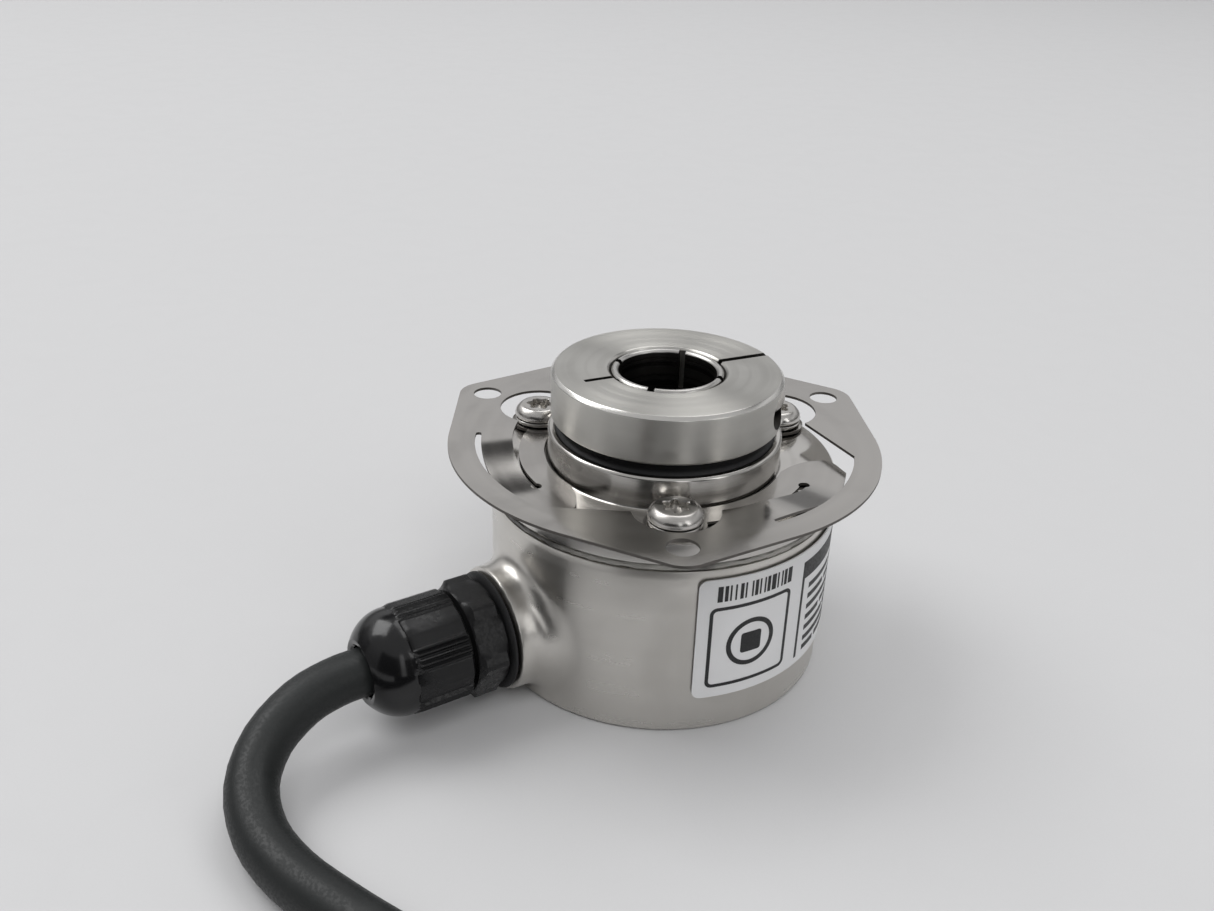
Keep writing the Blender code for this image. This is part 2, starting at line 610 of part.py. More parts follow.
def hollow_shaft(steel):
    """Blind hollow shaft with a slotted collet end."""
    clip_radius = BEARING_BORE_RADIUS - CIRCLIP_GROOVE_DEPTH
    profile = [
        (0.0, BORE_FLOOR),
        (SHAFT_BORE_RADIUS, BORE_FLOOR),
        (SHAFT_BORE_RADIUS, SHAFT_TOP - EDGE),
        (SHAFT_BORE_RADIUS + EDGE, SHAFT_TOP),
        (SHAFT_RADIUS - EDGE, SHAFT_TOP),
        (SHAFT_RADIUS, SHAFT_TOP - EDGE),
        (SHAFT_RADIUS, SHAFT_TO_COLLAR),
        (SHAFT_COLLAR_RADIUS, SHAFT_TO_COLLAR),
        (SHAFT_COLLAR_RADIUS, COLLAR_BOTTOM),
        (BEARING_BORE_RADIUS, COLLAR_BOTTOM),
        (BEARING_BORE_RADIUS, REAR_BEARING_BOTTOM),
        (clip_radius, REAR_BEARING_BOTTOM),
        (clip_radius, CIRCLIP_GROOVE_BOTTOM),
        (BEARING_BORE_RADIUS, CIRCLIP_GROOVE_BOTTOM),
        (BEARING_BORE_RADIUS, SHAFT_FACE),
        (SPINDLE_RADIUS, SHAFT_FACE),
        (SPINDLE_RADIUS, DISC_CLAMP_BOTTOM),
        (0.0, DISC_CLAMP_BOTTOM),
    ]
    shaft = turned("hollow_shaft", profile, steel)
    for i in range(2):
        low = (-2 * SHAFT_RADIUS, -COLLET_SLOT_WIDTH / 2, SHAFT_TOP - COLLET_SLOT_DEPTH)
        high = (2 * SHAFT_RADIUS, COLLET_SLOT_WIDTH / 2, SHAFT_TOP + EDGE)
        slot = box_mesh(f"collet_slot_{i}", low, high, turn(COLLET_SLOT_ANGLE + i * math.pi / 2))
        boolean(shaft, as_cutter(f"collet_slot_{i}", slot))


def clamp_screw_matrix():
    """Frame of the clamp screw: Z along the screw towards its head, origin in the split."""
    x, y = polar(CLAMP_SCREW_OFFSET, CLAMP_SPLIT_ANGLE)
    height = SHAFT_TOP - CLAMP_HEIGHT / 2
    along = Vector((math.sin(CLAMP_SPLIT_ANGLE), -math.cos(CLAMP_SPLIT_ANGLE), 0.0))
    return Matrix.Translation((x, y, height)) @ along.to_track_quat("Z", "Y").to_matrix().to_4x4()


def clamp_ring(steel):
    """Split clamp ring, its relief slot and the clamp screw's stepped hole."""
    bottom = SHAFT_TOP - CLAMP_HEIGHT
    inner = SHAFT_RADIUS + GAP
    profile = [
        (inner + EDGE, SHAFT_TOP),
        (CLAMP_RADIUS - CLAMP_CHAMFER, SHAFT_TOP),
        (CLAMP_RADIUS, SHAFT_TOP - CLAMP_CHAMFER),
        (CLAMP_RADIUS, bottom + EDGE),
        (CLAMP_RADIUS - EDGE, bottom),
        (inner, bottom),
        (inner, SHAFT_TOP - EDGE),
    ]
    ring = turned("clamp_ring", profile, steel)
    over = 2 * EDGE
    split = box_mesh("clamp_split", (SHAFT_RADIUS / 2, -CLAMP_SPLIT_WIDTH / 2, bottom - over),
                     (CLAMP_RADIUS + over, CLAMP_SPLIT_WIDTH / 2, SHAFT_TOP + over),
                     turn(CLAMP_SPLIT_ANGLE))
    boolean(ring, as_cutter("clamp_split", split))
    relief = box_mesh("clamp_relief", (SHAFT_RADIUS / 2, -CLAMP_RELIEF_WIDTH / 2, bottom - over),
                      (inner + CLAMP_RELIEF_LENGTH, CLAMP_RELIEF_WIDTH / 2, SHAFT_TOP + over),
                      turn(CLAMP_SPLIT_ANGLE + math.pi))
    boolean(ring, as_cutter("clamp_relief", relief))
    matrix = clamp_screw_matrix()
    shank_hole = rod_mesh("clamp_screw_hole", CLAMP_SCREW_RADIUS + GAP, -CLAMP_SCREW_REACH - GAP,
                          CLAMP_SCREW_HEAD_SEAT + GAP, CLAMP_HOLE_STEPS, matrix)
    boolean(ring, as_cutter("clamp_screw_hole", shank_hole))
    pocket = rod_mesh("clamp_screw_pocket", CLAMP_SCREW_HEAD_RADIUS + GAP, CLAMP_SCREW_HEAD_SEAT,
                      CLAMP_RADIUS, FINE_STEPS, matrix)
    boolean(ring, as_cutter("clamp_screw_pocket", pocket))


def clamp_screw(steel, parent):
    """Socket-head screw across the clamp ring's split."""
    head_bottom = CLAMP_SCREW_HEAD_SEAT + GAP
    head_top = head_bottom + CLAMP_SCREW_HEAD_HEIGHT
    profile = [
        (0.0, head_top),
        (CLAMP_SCREW_HEAD_RADIUS - EDGE, head_top),
        (CLAMP_SCREW_HEAD_RADIUS, head_top - EDGE),
        (CLAMP_SCREW_HEAD_RADIUS, head_bottom),
        (CLAMP_SCREW_RADIUS, head_bottom),
        (CLAMP_SCREW_RADIUS, -CLAMP_SCREW_REACH),
        (0.0, -CLAMP_SCREW_REACH),
    ]
    screw = turned("clamp_screw", profile, steel, SMALL_STEPS, parent)
    socket = rod_mesh("clamp_screw_socket", CLAMP_SCREW_HEAD_RADIUS / 2, head_top - CLAMP_SCREW_RADIUS,
                      head_top + EDGE, HEX_STEPS)
    boolean(screw, as_cutter("clamp_screw_socket", socket, parent))


def bearing(name, bottom, steel, cage_material):
    """Deep-groove ball bearing: two grooved rings and a caged set of balls."""
    top = bottom + BEARING_WIDTH
    middle = (bottom + top) / 2
    groove = BALL_RADIUS + GAP
    outer = BEARING_OUTER_RADIUS - GAP
    outer_shoulder = outer - BEARING_WALL
    inner = BEARING_BORE_RADIUS + GAP
    inner_shoulder = inner + BEARING_WALL

    half = math.acos((outer_shoulder - BALL_CIRCLE_RADIUS) / groove)
    race = arc((BALL_CIRCLE_RADIUS, middle), groove, -half, half, 3)
    turned(f"{name}_outer_ring", [(outer, top), (outer, bottom), (outer_shoulder, bottom), *race,
                                  (outer_shoulder, top)], steel, FINE_STEPS)
    half = math.acos((BALL_CIRCLE_RADIUS - inner_shoulder) / groove)
    race = arc((BALL_CIRCLE_RADIUS, middle), groove, math.pi - half, math.pi + half, 3)
    turned(f"{name}_inner_ring", [(inner_shoulder, top), *race, (inner_shoulder, bottom),
                                  (inner, bottom), (inner, top)], steel, FINE_STEPS)
    cage = turned(f"{name}_balls", ring_profile(BALL_CIRCLE_RADIUS - CAGE_HALF_THICKNESS,
                                                BALL_CIRCLE_RADIUS + CAGE_HALF_THICKNESS,
                                                middle - CAGE_HALF_HEIGHT, middle + CAGE_HALF_HEIGHT),
                  cage_material, SMALL_STEPS)
    balls = bpy.data.meshes.new(f"{name}_ball_blanks")
    solid = bmesh.new()
    for i in range(BALL_COUNT):
        x, y = polar(BALL_CIRCLE_RADIUS, (i + 0.5) * math.tau / BALL_COUNT)
        bmesh.ops.create_uvsphere(solid, u_segments=BALL_SEGMENTS, v_segments=BALL_RINGS, radius=BALL_RADIUS,
                                  matrix=Matrix.Translation((x, y, middle)))
    solid.to_mesh(balls)
    solid.free()
    boolean(cage, as_cutter(f"{name}_ball_blanks", balls), "UNION")


def bearing_trim(steel):
    """Spacer between the inner rings, wave spring between the outer ones, and the circlip."""
    low = REAR_BEARING_BOTTOM + BEARING_WIDTH + GAP
    high = FRONT_BEARING_BOTTOM - GAP
    inner = BEARING_BORE_RADIUS + GAP
    turned("bearing_spacer", ring_profile(inner, inner + BEARING_WALL, low, high), steel, FINE_STEPS)

    outer = BEARING_OUTER_RADIUS - GAP
    middle = (low + high) / 2
    spring = turned("wave_spring", ring_profile(outer - BEARING_WALL, outer, middle - WAVE_THICKNESS / 2,
                                                middle + WAVE_THICKNESS / 2), steel)
    bpy.context.view_layer.update()
    graph = bpy.context.evaluated_depsgraph_get()
    wavy = bpy.data.meshes.new_from_object(spring.evaluated_get(graph))
    for vertex in wavy.vertices:
        vertex.co.z += WAVE_HEIGHT * math.cos(WAVE_COUNT * math.atan2(vertex.co.y, vertex.co.x))
    spring.modifiers.clear()
    spring.data = wavy

    clip_top = REAR_BEARING_BOTTOM - GAP
    clip_bore = BEARING_BORE_RADIUS - CIRCLIP_GROOVE_DEPTH + GAP
    clip = turned("shaft_circlip", ring_profile(clip_bore, CIRCLIP_RADIUS, clip_top - CIRCLIP_THICKNESS,
                                                clip_top), steel, FINE_STEPS)
    reach = CIRCLIP_RADIUS * math.tan(CIRCLIP_OPENING / 2)
    opening = box_mesh("circlip_opening", (0.0, -reach / 2, clip_top - 2 * CIRCLIP_THICKNESS),
                       (2 * CIRCLIP_RADIUS, reach / 2, clip_top + CIRCLIP_THICKNESS))
    boolean(clip, as_cutter("circlip_opening", opening))


# ---------------------------------------------------------------- stator coupling

def sheet_outline():
    """Round outline drawn out to a rounded corner round each mounting hole."""
    lean = math.acos((SHEET_RADIUS - CORNER_RADIUS) / MOUNTING_CIRCLE_RADIUS)
    points = []
    for i in range(3):
        angle = FIRST_SCREW_ANGLE + i * math.tau / 3
        centre = polar(MOUNTING_CIRCLE_RADIUS, angle)
        points += arc(centre, CORNER_RADIUS, angle - lean, angle + lean, 7)
        points += arc((0.0, 0.0), SHEET_RADIUS, angle + lean, angle + math.tau / 3 - lean, 9)
    return points


def crossing_angle(radius, centre_radius, circle_radius):
    """Angle from a circle's centre line at which an arc about the axis meets the circle."""
    cosine = (radius ** 2 + centre_radius ** 2 - circle_radius ** 2) / (2 * radius * centre_radius)
    return math.acos(cosine)


def sector_outline():
    """Inner edge of the sheet through one screw's sector, the screw at angle 0.

    It runs round the screw's cut-out, along and back through the inner slot, round the
    tab, along the hub side of the leaf, back along the outer slot and on to the window.
    """
    inner_low = INNER_SLOT_RADIUS - SLOT_HALF_WIDTH
    inner_high = INNER_SLOT_RADIUS + SLOT_HALF_WIDTH
    outer_low = OUTER_SLOT_RADIUS - SLOT_HALF_WIDTH
    outer_high = OUTER_SLOT_RADIUS + SLOT_HALF_WIDTH
    screw = (SCREW_CIRCLE_RADIUS, 0.0)

    def angle_on(circle, point):
        return math.atan2(point[1] - circle[1], point[0] - circle[0])

    window_edge = polar(WINDOW_END_RADIUS, WINDOW_END - math.tau / 3)
    start = angle_on(screw, window_edge)
    reach = crossing_angle(inner_high, SCREW_CIRCLE_RADIUS, CUT_OUT_RADIUS)
    end = angle_on(screw, polar(inner_high, reach))
    points = arc(screw, CUT_OUT_RADIUS, start, end, 10)

    points += arc((0.0, 0.0), inner_high, reach + CUT_OUT_TO_SLOT, INNER_SLOT_END - SLOT_TO_ROUND_END, 6)
    keyhole = polar(INNER_SLOT_RADIUS, INNER_SLOT_END)
    points += arc(keyhole, KEYHOLE_RADIUS, INNER_SLOT_END - math.radians(50.0),
                  INNER_SLOT_END + math.radians(230.0), 9)
    reach = crossing_angle(inner_low, SCREW_CIRCLE_RADIUS, TAB_RADIUS)
    points += arc((0.0, 0.0), inner_low, INNER_SLOT_END - SLOT_TO_ROUND_END, reach, 6)

    start = angle_on(screw, polar(inner_low, reach))
    reach = crossing_angle(LEAF_INNER_RADIUS, SCREW_CIRCLE_RADIUS, TAB_RADIUS)
    end = angle_on(screw, polar(LEAF_INNER_RADIUS, -reach))
    points += arc(screw, TAB_RADIUS, start, end, 9)[1:]

    points += arc((0.0, 0.0), LEAF_INNER_RADIUS, -reach, LEAF_EDGE_END, 9)[1:]
    points += [polar(LEAF_INNER_RADIUS + past, math.radians(degrees)) for past, degrees in LEAF_END]
    points += arc((0.0, 0.0), outer_low, LEAF_CORNER_ANGLE, OUTER_SLOT_START + SLOT_TO_ROUND_END, 7)
    slot_end = polar(OUTER_SLOT_RADIUS, OUTER_SLOT_START)
    points += arc(slot_end, SLOT_HALF_WIDTH, OUTER_SLOT_START + math.radians(210.0),
                  OUTER_SLOT_START + math.radians(330.0), 4)
    points += arc((0.0, 0.0), outer_high, OUTER_SLOT_START + SLOT_TO_ROUND_END, WINDOW_START, 7)
    return points


def rotated(points, angle):
    """Turn plane points about the axis."""
    c, s = math.cos(angle), math.sin(angle)
    return [(c * x - s * y, s * x + c * y) for x, y in points]


def bend_line(side):
    """A sector's bend line: a point on it and the direction across it."""
    across = Vector((-math.sin(BEND_ANGLE), math.cos(BEND_ANGLE), 0.0))
    middle_radius = (INNER_SLOT_RADIUS + OUTER_SLOT_RADIUS) / 2
    middle = Vector((*polar(middle_radius, BEND_ANGLE), 0.0))
    return middle + across * side * BEND_LENGTH / 2, across


def sheet_drop(x, y):
    """How far below the raised ring the sheet lies at a point."""
    radius = math.hypot(x, y)
    angle = (math.atan2(y, x) - FIRST_SCREW_ANGLE) % (math.tau / 3)
    local = Vector((*polar(radius, angle), 0.0))
    from_screw = (local - Vector((SCREW_CIRCLE_RADIUS, 0.0, 0.0))).length
    next_screw = Vector((*polar(SCREW_CIRCLE_RADIUS, math.tau / 3), 0.0))
    from_next = (local - next_screw).length
    tab_edge = (TAB_RADIUS + CUT_OUT_RADIUS) / 2
    if min(from_screw, from_next) < tab_edge or radius < INNER_SLOT_RADIUS:
        return SHEET_LIFT
    if radius > OUTER_SLOT_RADIUS - SLOT_HALF_WIDTH / 2 or angle < OUTER_SLOT_START:
        return 0.0
    slot_line = Vector((*polar(INNER_SLOT_RADIUS, WINDOW_START), 0.0))
    if angle > WINDOW_START and (local - slot_line).length > WINDOW_CORNER:
        return 0.0
    point, across = bend_line(0)
    along = (local - point).dot(across) / BEND_LENGTH + 0.5
    return SHEET_LIFT * min(max(along, 0.0), 1.0)


def stator_coupling(steel):
    """Spring sheet on two levels: a raised ring and three low tabs on folded beams."""
    inner_edge = []
    for i in range(3):
        inner_edge += rotated(sector_outline(), FIRST_SCREW_ANGLE + i * math.tau / 3)
    loops = [sheet_outline(), inner_edge]
    for i in range(3):
        angle = FIRST_SCREW_ANGLE + i * math.tau / 3
        for centre_radius, hole_radius in ((MOUNTING_CIRCLE_RADIUS, MOUNTING_HOLE_RADIUS),
                                           (SCREW_CIRCLE_RADIUS, TAB_HOLE_RADIUS)):
            loops.append(arc(polar(centre_radius, angle), hole_radius, 0.0, math.tau * 15 / 16, 16))
    mesh = sheet_mesh("stator_coupling", loops, SHEET_THICKNESS)

    solid = bmesh.new()
    solid.from_mesh(mesh)
    for i in range(3):
        sector = turn(FIRST_SCREW_ANGLE + i * math.tau / 3)
        for side in (-1, 1):
            point, across = bend_line(side)
            centre = sector @ point
            near = [face for face in solid.faces
                    if any((vertex.co - centre).length < BEND_REACH for vertex in face.verts)
                    or (face.calc_center_median() - centre).length < BEND_REACH]
            edges = {edge for face in near for edge in face.edges}
            verts = {vertex for face in near for vertex in face.verts}
            bmesh.ops.bisect_plane(solid, geom=list(verts) + list(edges) + near, plane_co=centre,
                                   plane_no=sector.to_3x3() @ across, dist=0.0000001)
    for vertex in solid.verts:
        vertex.co.z += TAB_BOTTOM + SHEET_LIFT - sheet_drop(vertex.co.x, vertex.co.y)
    bmesh.ops.triangulate(solid, faces=solid.faces)
    solid.to_mesh(mesh)
    solid.free()
    place("stator_coupling", mesh, steel)


def coupling_screws(steel):
    """Button-head screw and plain washer on each tab."""
    for i in range(3):
        angle = FIRST_SCREW_ANGLE + i * math.tau / 3
        x, y = polar(SCREW_CIRCLE_RADIUS, angle)
        head_top = HEAD_BOTTOM + COUPLING_SCREW_HEAD_HEIGHT
        foot = FLANGE_TOP - COUPLING_SCREW_DEPTH
        crown = COUPLING_SCREW_HEAD_RADIUS * COUPLING_SCREW_CROWN
        shoulders = [(COUPLING_SCREW_HEAD_RADIUS * out, head_top - COUPLING_SCREW_HEAD_HEIGHT * down)
                     for out, down in COUPLING_SCREW_SHOULDERS]
        profile = [(0.0, head_top), (crown, head_top), *shoulders,
                   (COUPLING_SCREW_HEAD_RADIUS, HEAD_BOTTOM), (COUPLING_SCREW_RADIUS, HEAD_BOTTOM),
                   (COUPLING_SCREW_RADIUS, foot), (0.0, foot)]
        screw = turned(f"coupling_screw_{i + 1}", profile, steel, SMALL_STEPS)
        screw.location = (x, y, 0.0)
        socket = as_cutter(f"coupling_screw_socket_{i}",
                           rod_mesh(f"coupling_screw_socket_{i}", COUPLING_SCREW_SOCKET_RADIUS,
                                    head_top - COUPLING_SCREW_SOCKET_DEPTH, head_top + EDGE, HEX_STEPS))
        socket.location = (x, y, 0.0)
        boolean(screw, socket)
        washer = turned(f"coupling_washer_{i + 1}",
                        ring_profile(COUPLING_SCREW_RADIUS + GAP, WASHER_RADIUS, WASHER_BOTTOM,
                                     WASHER_BOTTOM + WASHER_THICKNESS), steel, SMALL_STEPS)
        washer.location = (x, y, 0.0)


# ---------------------------------------------------------------- label and electronics

def rating_label(film):
    """Label wrapped round the cup."""
    radius = BODY_RADIUS + GAP
    mesh = bpy.data.meshes.new("rating_label")
    solid = bmesh.new()
    bmesh.ops.create_grid(solid, x_segments=LABEL_COLUMNS, y_segments=1, size=0.5)
    for vertex in solid.verts:
        angle = LABEL_START + (vertex.co.x + 0.5) * LABEL_LENGTH / radius
        x, y = polar(radius, angle)
        vertex.co = (x, y, LABEL_BOTTOM + (vertex.co.y + 0.5) * LABEL_HEIGHT)
    solid.to_mesh(mesh)
    solid.free()
    label = place("rating_label", mesh, film)
    skin = label.modifiers.new("thickness", "SOLIDIFY")
    skin.thickness = LABEL_THICKNESS
    skin.offset = 1.0


def code_disc(glass, brass):
    """Code disc on the shaft's spindle and the ring that clamps it."""
    bore = SPINDLE_RADIUS + GAP
    turned("code_disc", ring_profile(bore, DISC_RADIUS, DISC_BOTTOM, DISC_BOTTOM + DISC_THICKNESS), glass)
    turned("disc_clamp_ring", ring_profile(bore, DISC_CLAMP_RADIUS, DISC_CLAMP_BOTTOM,
                                           DISC_CLAMP_BOTTOM + DISC_CLAMP_THICKNESS), brass, FINE_STEPS)


def main_board(laminate, brass, steel):
    """Round board hung under the flange on three spacers."""
    board = turned("main_board", rod_profile(BOARD_RADIUS, BOARD_BOTTOM, BOARD_TOP), laminate)
    spacer_bottom = BOARD_TOP + GAP
    spacer_top = SPIGOT_BOTTOM - GAP
    stud_top = SPIGOT_BOTTOM + SPACER_STUD_LENGTH
    bore_top = spacer_bottom + SPACER_BORE_DEPTH
    head_top = BOARD_BOTTOM - GAP
    head_bottom = head_top - BOARD_SCREW_HEAD_HEIGHT
    for i in range(3):
        x, y = polar(SPACER_CIRCLE_RADIUS, FIRST_SPACER_ANGLE + i * math.tau / 3)
        hole = as_cutter(f"board_hole_{i}", rod_mesh(f"board_hole_{i}", SPACER_BORE_RADIUS, BOARD_BOTTOM - GAP,
                                                     BOARD_TOP + GAP, SMALL_STEPS))
        hole.location = (x, y, 0.0)
        boolean(board, hole)
        spacer = turned(f"board_spacer_{i + 1}",
                        [(0.0, stud_top), (SPACER_STUD_RADIUS, stud_top), (SPACER_STUD_RADIUS, spacer_top),
                         (SPACER_RADIUS, spacer_top), (SPACER_RADIUS, spacer_bottom),
                         (SPACER_BORE_RADIUS, spacer_bottom), (SPACER_BORE_RADIUS, bore_top),
                         (0.0, bore_top)], brass, SMALL_STEPS)
        spacer.location = (x, y, 0.0)
        screw = turned(f"board_screw_{i + 1}",
                       [(0.0, bore_top - 2 * GAP), (BOARD_SCREW_RADIUS, bore_top - 2 * GAP),
                        (BOARD_SCREW_RADIUS, head_top), (BOARD_SCREW_HEAD_RADIUS, head_top),
                        (BOARD_SCREW_HEAD_RADIUS, head_bottom), (0.0, head_bottom)], steel, SMALL_STEPS)
        screw.location = (x, y, 0.0)


def optics(dark_plastic, chip_plastic):
    """Sensor chip under the code disc and the emitter block that reaches over it."""
    length, width, height = SENSOR_SIZE
    bottom = BOARD_TOP + GAP
    place("sensor_chip", box_mesh("sensor_chip", (SENSOR_RADIUS - width / 2, -length / 2, bottom),
                                  (SENSOR_RADIUS + width / 2, length / 2, bottom + height),
                                  turn(EMITTER_ANGLE)), chip_plastic)
    arm_bottom = DISC_BOTTOM + DISC_THICKNESS + GAP
    post_inner = INNER_HUB_RADIUS + 2 * GAP
    post_outer = post_inner + EMITTER_WIDTH / 2
    half = EMITTER_WIDTH / 2
    block = place("emitter_block", box_mesh("emitter_block", (post_inner, -half, arm_bottom),
                                            (post_outer, half, SPIGOT_BOTTOM - GAP), turn(EMITTER_ANGLE)),
                  dark_plastic)
    arm = as_cutter("emitter_arm", box_mesh("emitter_arm", (EMITTER_REACH, -half, arm_bottom),
                                            (post_inner + half / 2, half, arm_bottom + EMITTER_ARM_HEIGHT),
                                            turn(EMITTER_ANGLE)))
    boolean(block, arm, "UNION")


def terminal_block(plastic, gland_axis):
    """Terminal block under the board, facing the gland."""
    depth, width, height = TERMINAL_SIZE
    drop = GLAND_HEIGHT - (BOARD_BOTTOM - GAP)   # the gland frame's X axis points down
    block = box_mesh("terminal_block", (drop, -width / 2, TERMINAL_RADIUS - depth / 2),
                     (drop + height, width / 2, TERMINAL_RADIUS + depth / 2))
    place("terminal_block", block, plastic, gland_axis)


# ---------------------------------------------------------------- gland and cable

def gland_body(black, parent):
    """Hexagonal gland body with its thread, neck and seal pocket."""
    hex_end = HEX_START + GLAND_HEX_LENGTH
    body = place("gland_body", rod_mesh("gland_body", GLAND_HEX_RADIUS, HEX_START, hex_end, HEX_STEPS),
                 black, parent)
    core = as_cutter("gland_core", rod_mesh("gland_core", GLAND_THREAD_RADIUS, GLAND_THREAD_REACH,
                                            hex_end - EDGE, FINE_STEPS), parent)
    boolean(body, core, "UNION")
    neck = as_cutter("gland_neck", rod_mesh("gland_neck", GLAND_NECK_RADIUS, HEX_START + EDGE,
                                            GLAND_NECK_REACH, FINE_STEPS), parent)
    boolean(body, neck, "UNION")
    pocket_start = GLAND_NECK_REACH - SEAL_POCKET_DEPTH
    over = GLAND_NECK_REACH + EDGE
    bore = turned_cutter("gland_bore", [(0.0, over), (SEAL_POCKET_RADIUS, over),
                                        (SEAL_POCKET_RADIUS, pocket_start),
                                        (GLAND_BORE_RADIUS, pocket_start),
                                        (GLAND_BORE_RADIUS, GLAND_THREAD_REACH - EDGE),
                                        (0.0, GLAND_THREAD_REACH - EDGE)], FINE_STEPS, parent)
    boolean(body, bore)


def gland_seals(rubber, parent):
    """Flat gasket on the boss and the sealing insert round the sheath."""
    turned("gland_gasket", ring_profile(BOSS_BORE_RADIUS + GAP, GASKET_RADIUS, BOSS_REACH + GAP,
                                        BOSS_REACH + GAP + GASKET_THICKNESS), rubber, FINE_STEPS, parent)
    start = GLAND_NECK_REACH - SEAL_POCKET_DEPTH + GAP
    turned("gland_seal", ring_profile(CABLE_RADIUS + GAP, SEAL_POCKET_RADIUS - GAP, start,
                                      GLAND_NECK_REACH + 2 * GAP), rubber, SMALL_STEPS, parent)


def gland_dome_nut(black, parent):
    """Dome nut: a many-sided grip that closes in a dome round the cable."""
    nut = place("gland_dome_nut", rod_mesh("gland_dome_nut", NUT_RADIUS, NUT_START, NUT_SIDES_REACH, NUT_SIDES),
                black, parent)
    dome_radius = NUT_RADIUS * math.cos(math.pi / NUT_SIDES)
    rise = DOME_REACH - NUT_SIDES_REACH
    lip = math.acos(DOME_LIP_RADIUS / dome_radius)
    curve = []
    for i in range(DOME_ARC_SPANS, -1, -1):
        swept = lip * i / DOME_ARC_SPANS
        curve.append((dome_radius * math.cos(swept), NUT_SIDES_REACH + rise * math.sin(swept) / math.sin(lip)))
    foot = NUT_SIDES_REACH - 2 * EDGE
    dome = turned_cutter("dome_blank", [(0.0, DOME_REACH), *curve, (dome_radius, foot), (0.0, foot)],
                         FINE_STEPS, parent)
    boolean(nut, dome, "UNION")
    shoulder = NUT_BORE_REACH
    over = DOME_REACH + EDGE
    bore = turned_cutter("nut_bore", [(0.0, over), (DOME_EXIT_RADIUS, over),
                                      (DOME_EXIT_RADIUS, shoulder + (NUT_BORE_RADIUS - DOME_EXIT_RADIUS) / 2),
                                      (NUT_BORE_RADIUS, shoulder - EDGE),
                                      (NUT_BORE_RADIUS, NUT_START - EDGE), (0.0, NUT_START - EDGE)],
                         FINE_STEPS, parent)
    boolean(nut, bore)


def inner_cable(sheath, leads, parent):
    """The sheath held in the gland and the bundled leads up to the terminal block."""
    turned("sheath_in_gland", rod_profile(CABLE_RADIUS, SHEATH_END_REACH, DOME_REACH), sheath,
           SMALL_STEPS, parent)
    start = SHEATH_END_REACH - GAP
    end = TERMINAL_RADIUS + TERMINAL_SIZE[0] / 2 + GAP
    rise = -(BOARD_BOTTOM - GAP - TERMINAL_SIZE[2] / 2 - GLAND_HEIGHT)
    points = []
    for i in range(LEADS_SPANS + 1):
        share = i / LEADS_SPANS
        points.append((rise * (1 - math.cos(math.pi * share)) / 2, 0.0, start + (end - start) * share))
    tube("inner_leads", points, LEADS_RADIUS, leads, parent)


def outer_cable(sheath, leads):
    """The free cable, its coil and the fan of leads at its end."""
    tube("cable_tube", CABLE_ROUTE, CABLE_RADIUS, sheath)
    coil = turned("cable_coil", ring_profile(COIL_MIDDLE_RADIUS - COIL_HALF_WIDTH,
                                             COIL_MIDDLE_RADIUS + COIL_HALF_WIDTH, FLOOR_CLEARANCE,
                                             FLOOR_CLEARANCE + COIL_HEIGHT, CABLE_RADIUS / 2), sheath)
    coil.location = (*COIL_CENTRE, 0.0)
    height = FLOOR_CLEARANCE + COIL_HEIGHT + GAP + LEAD_FAN_RADIUS
    turns = arc(COIL_CENTRE, COIL_MIDDLE_RADIUS, LEAD_FAN_START, LEAD_FAN_END, LEAD_FAN_POINTS)
    tube("cable_lead_ends", [(x, y, height) for x, y in turns], LEAD_FAN_RADIUS, leads)


# ---------------------------------------------------------------- assembly

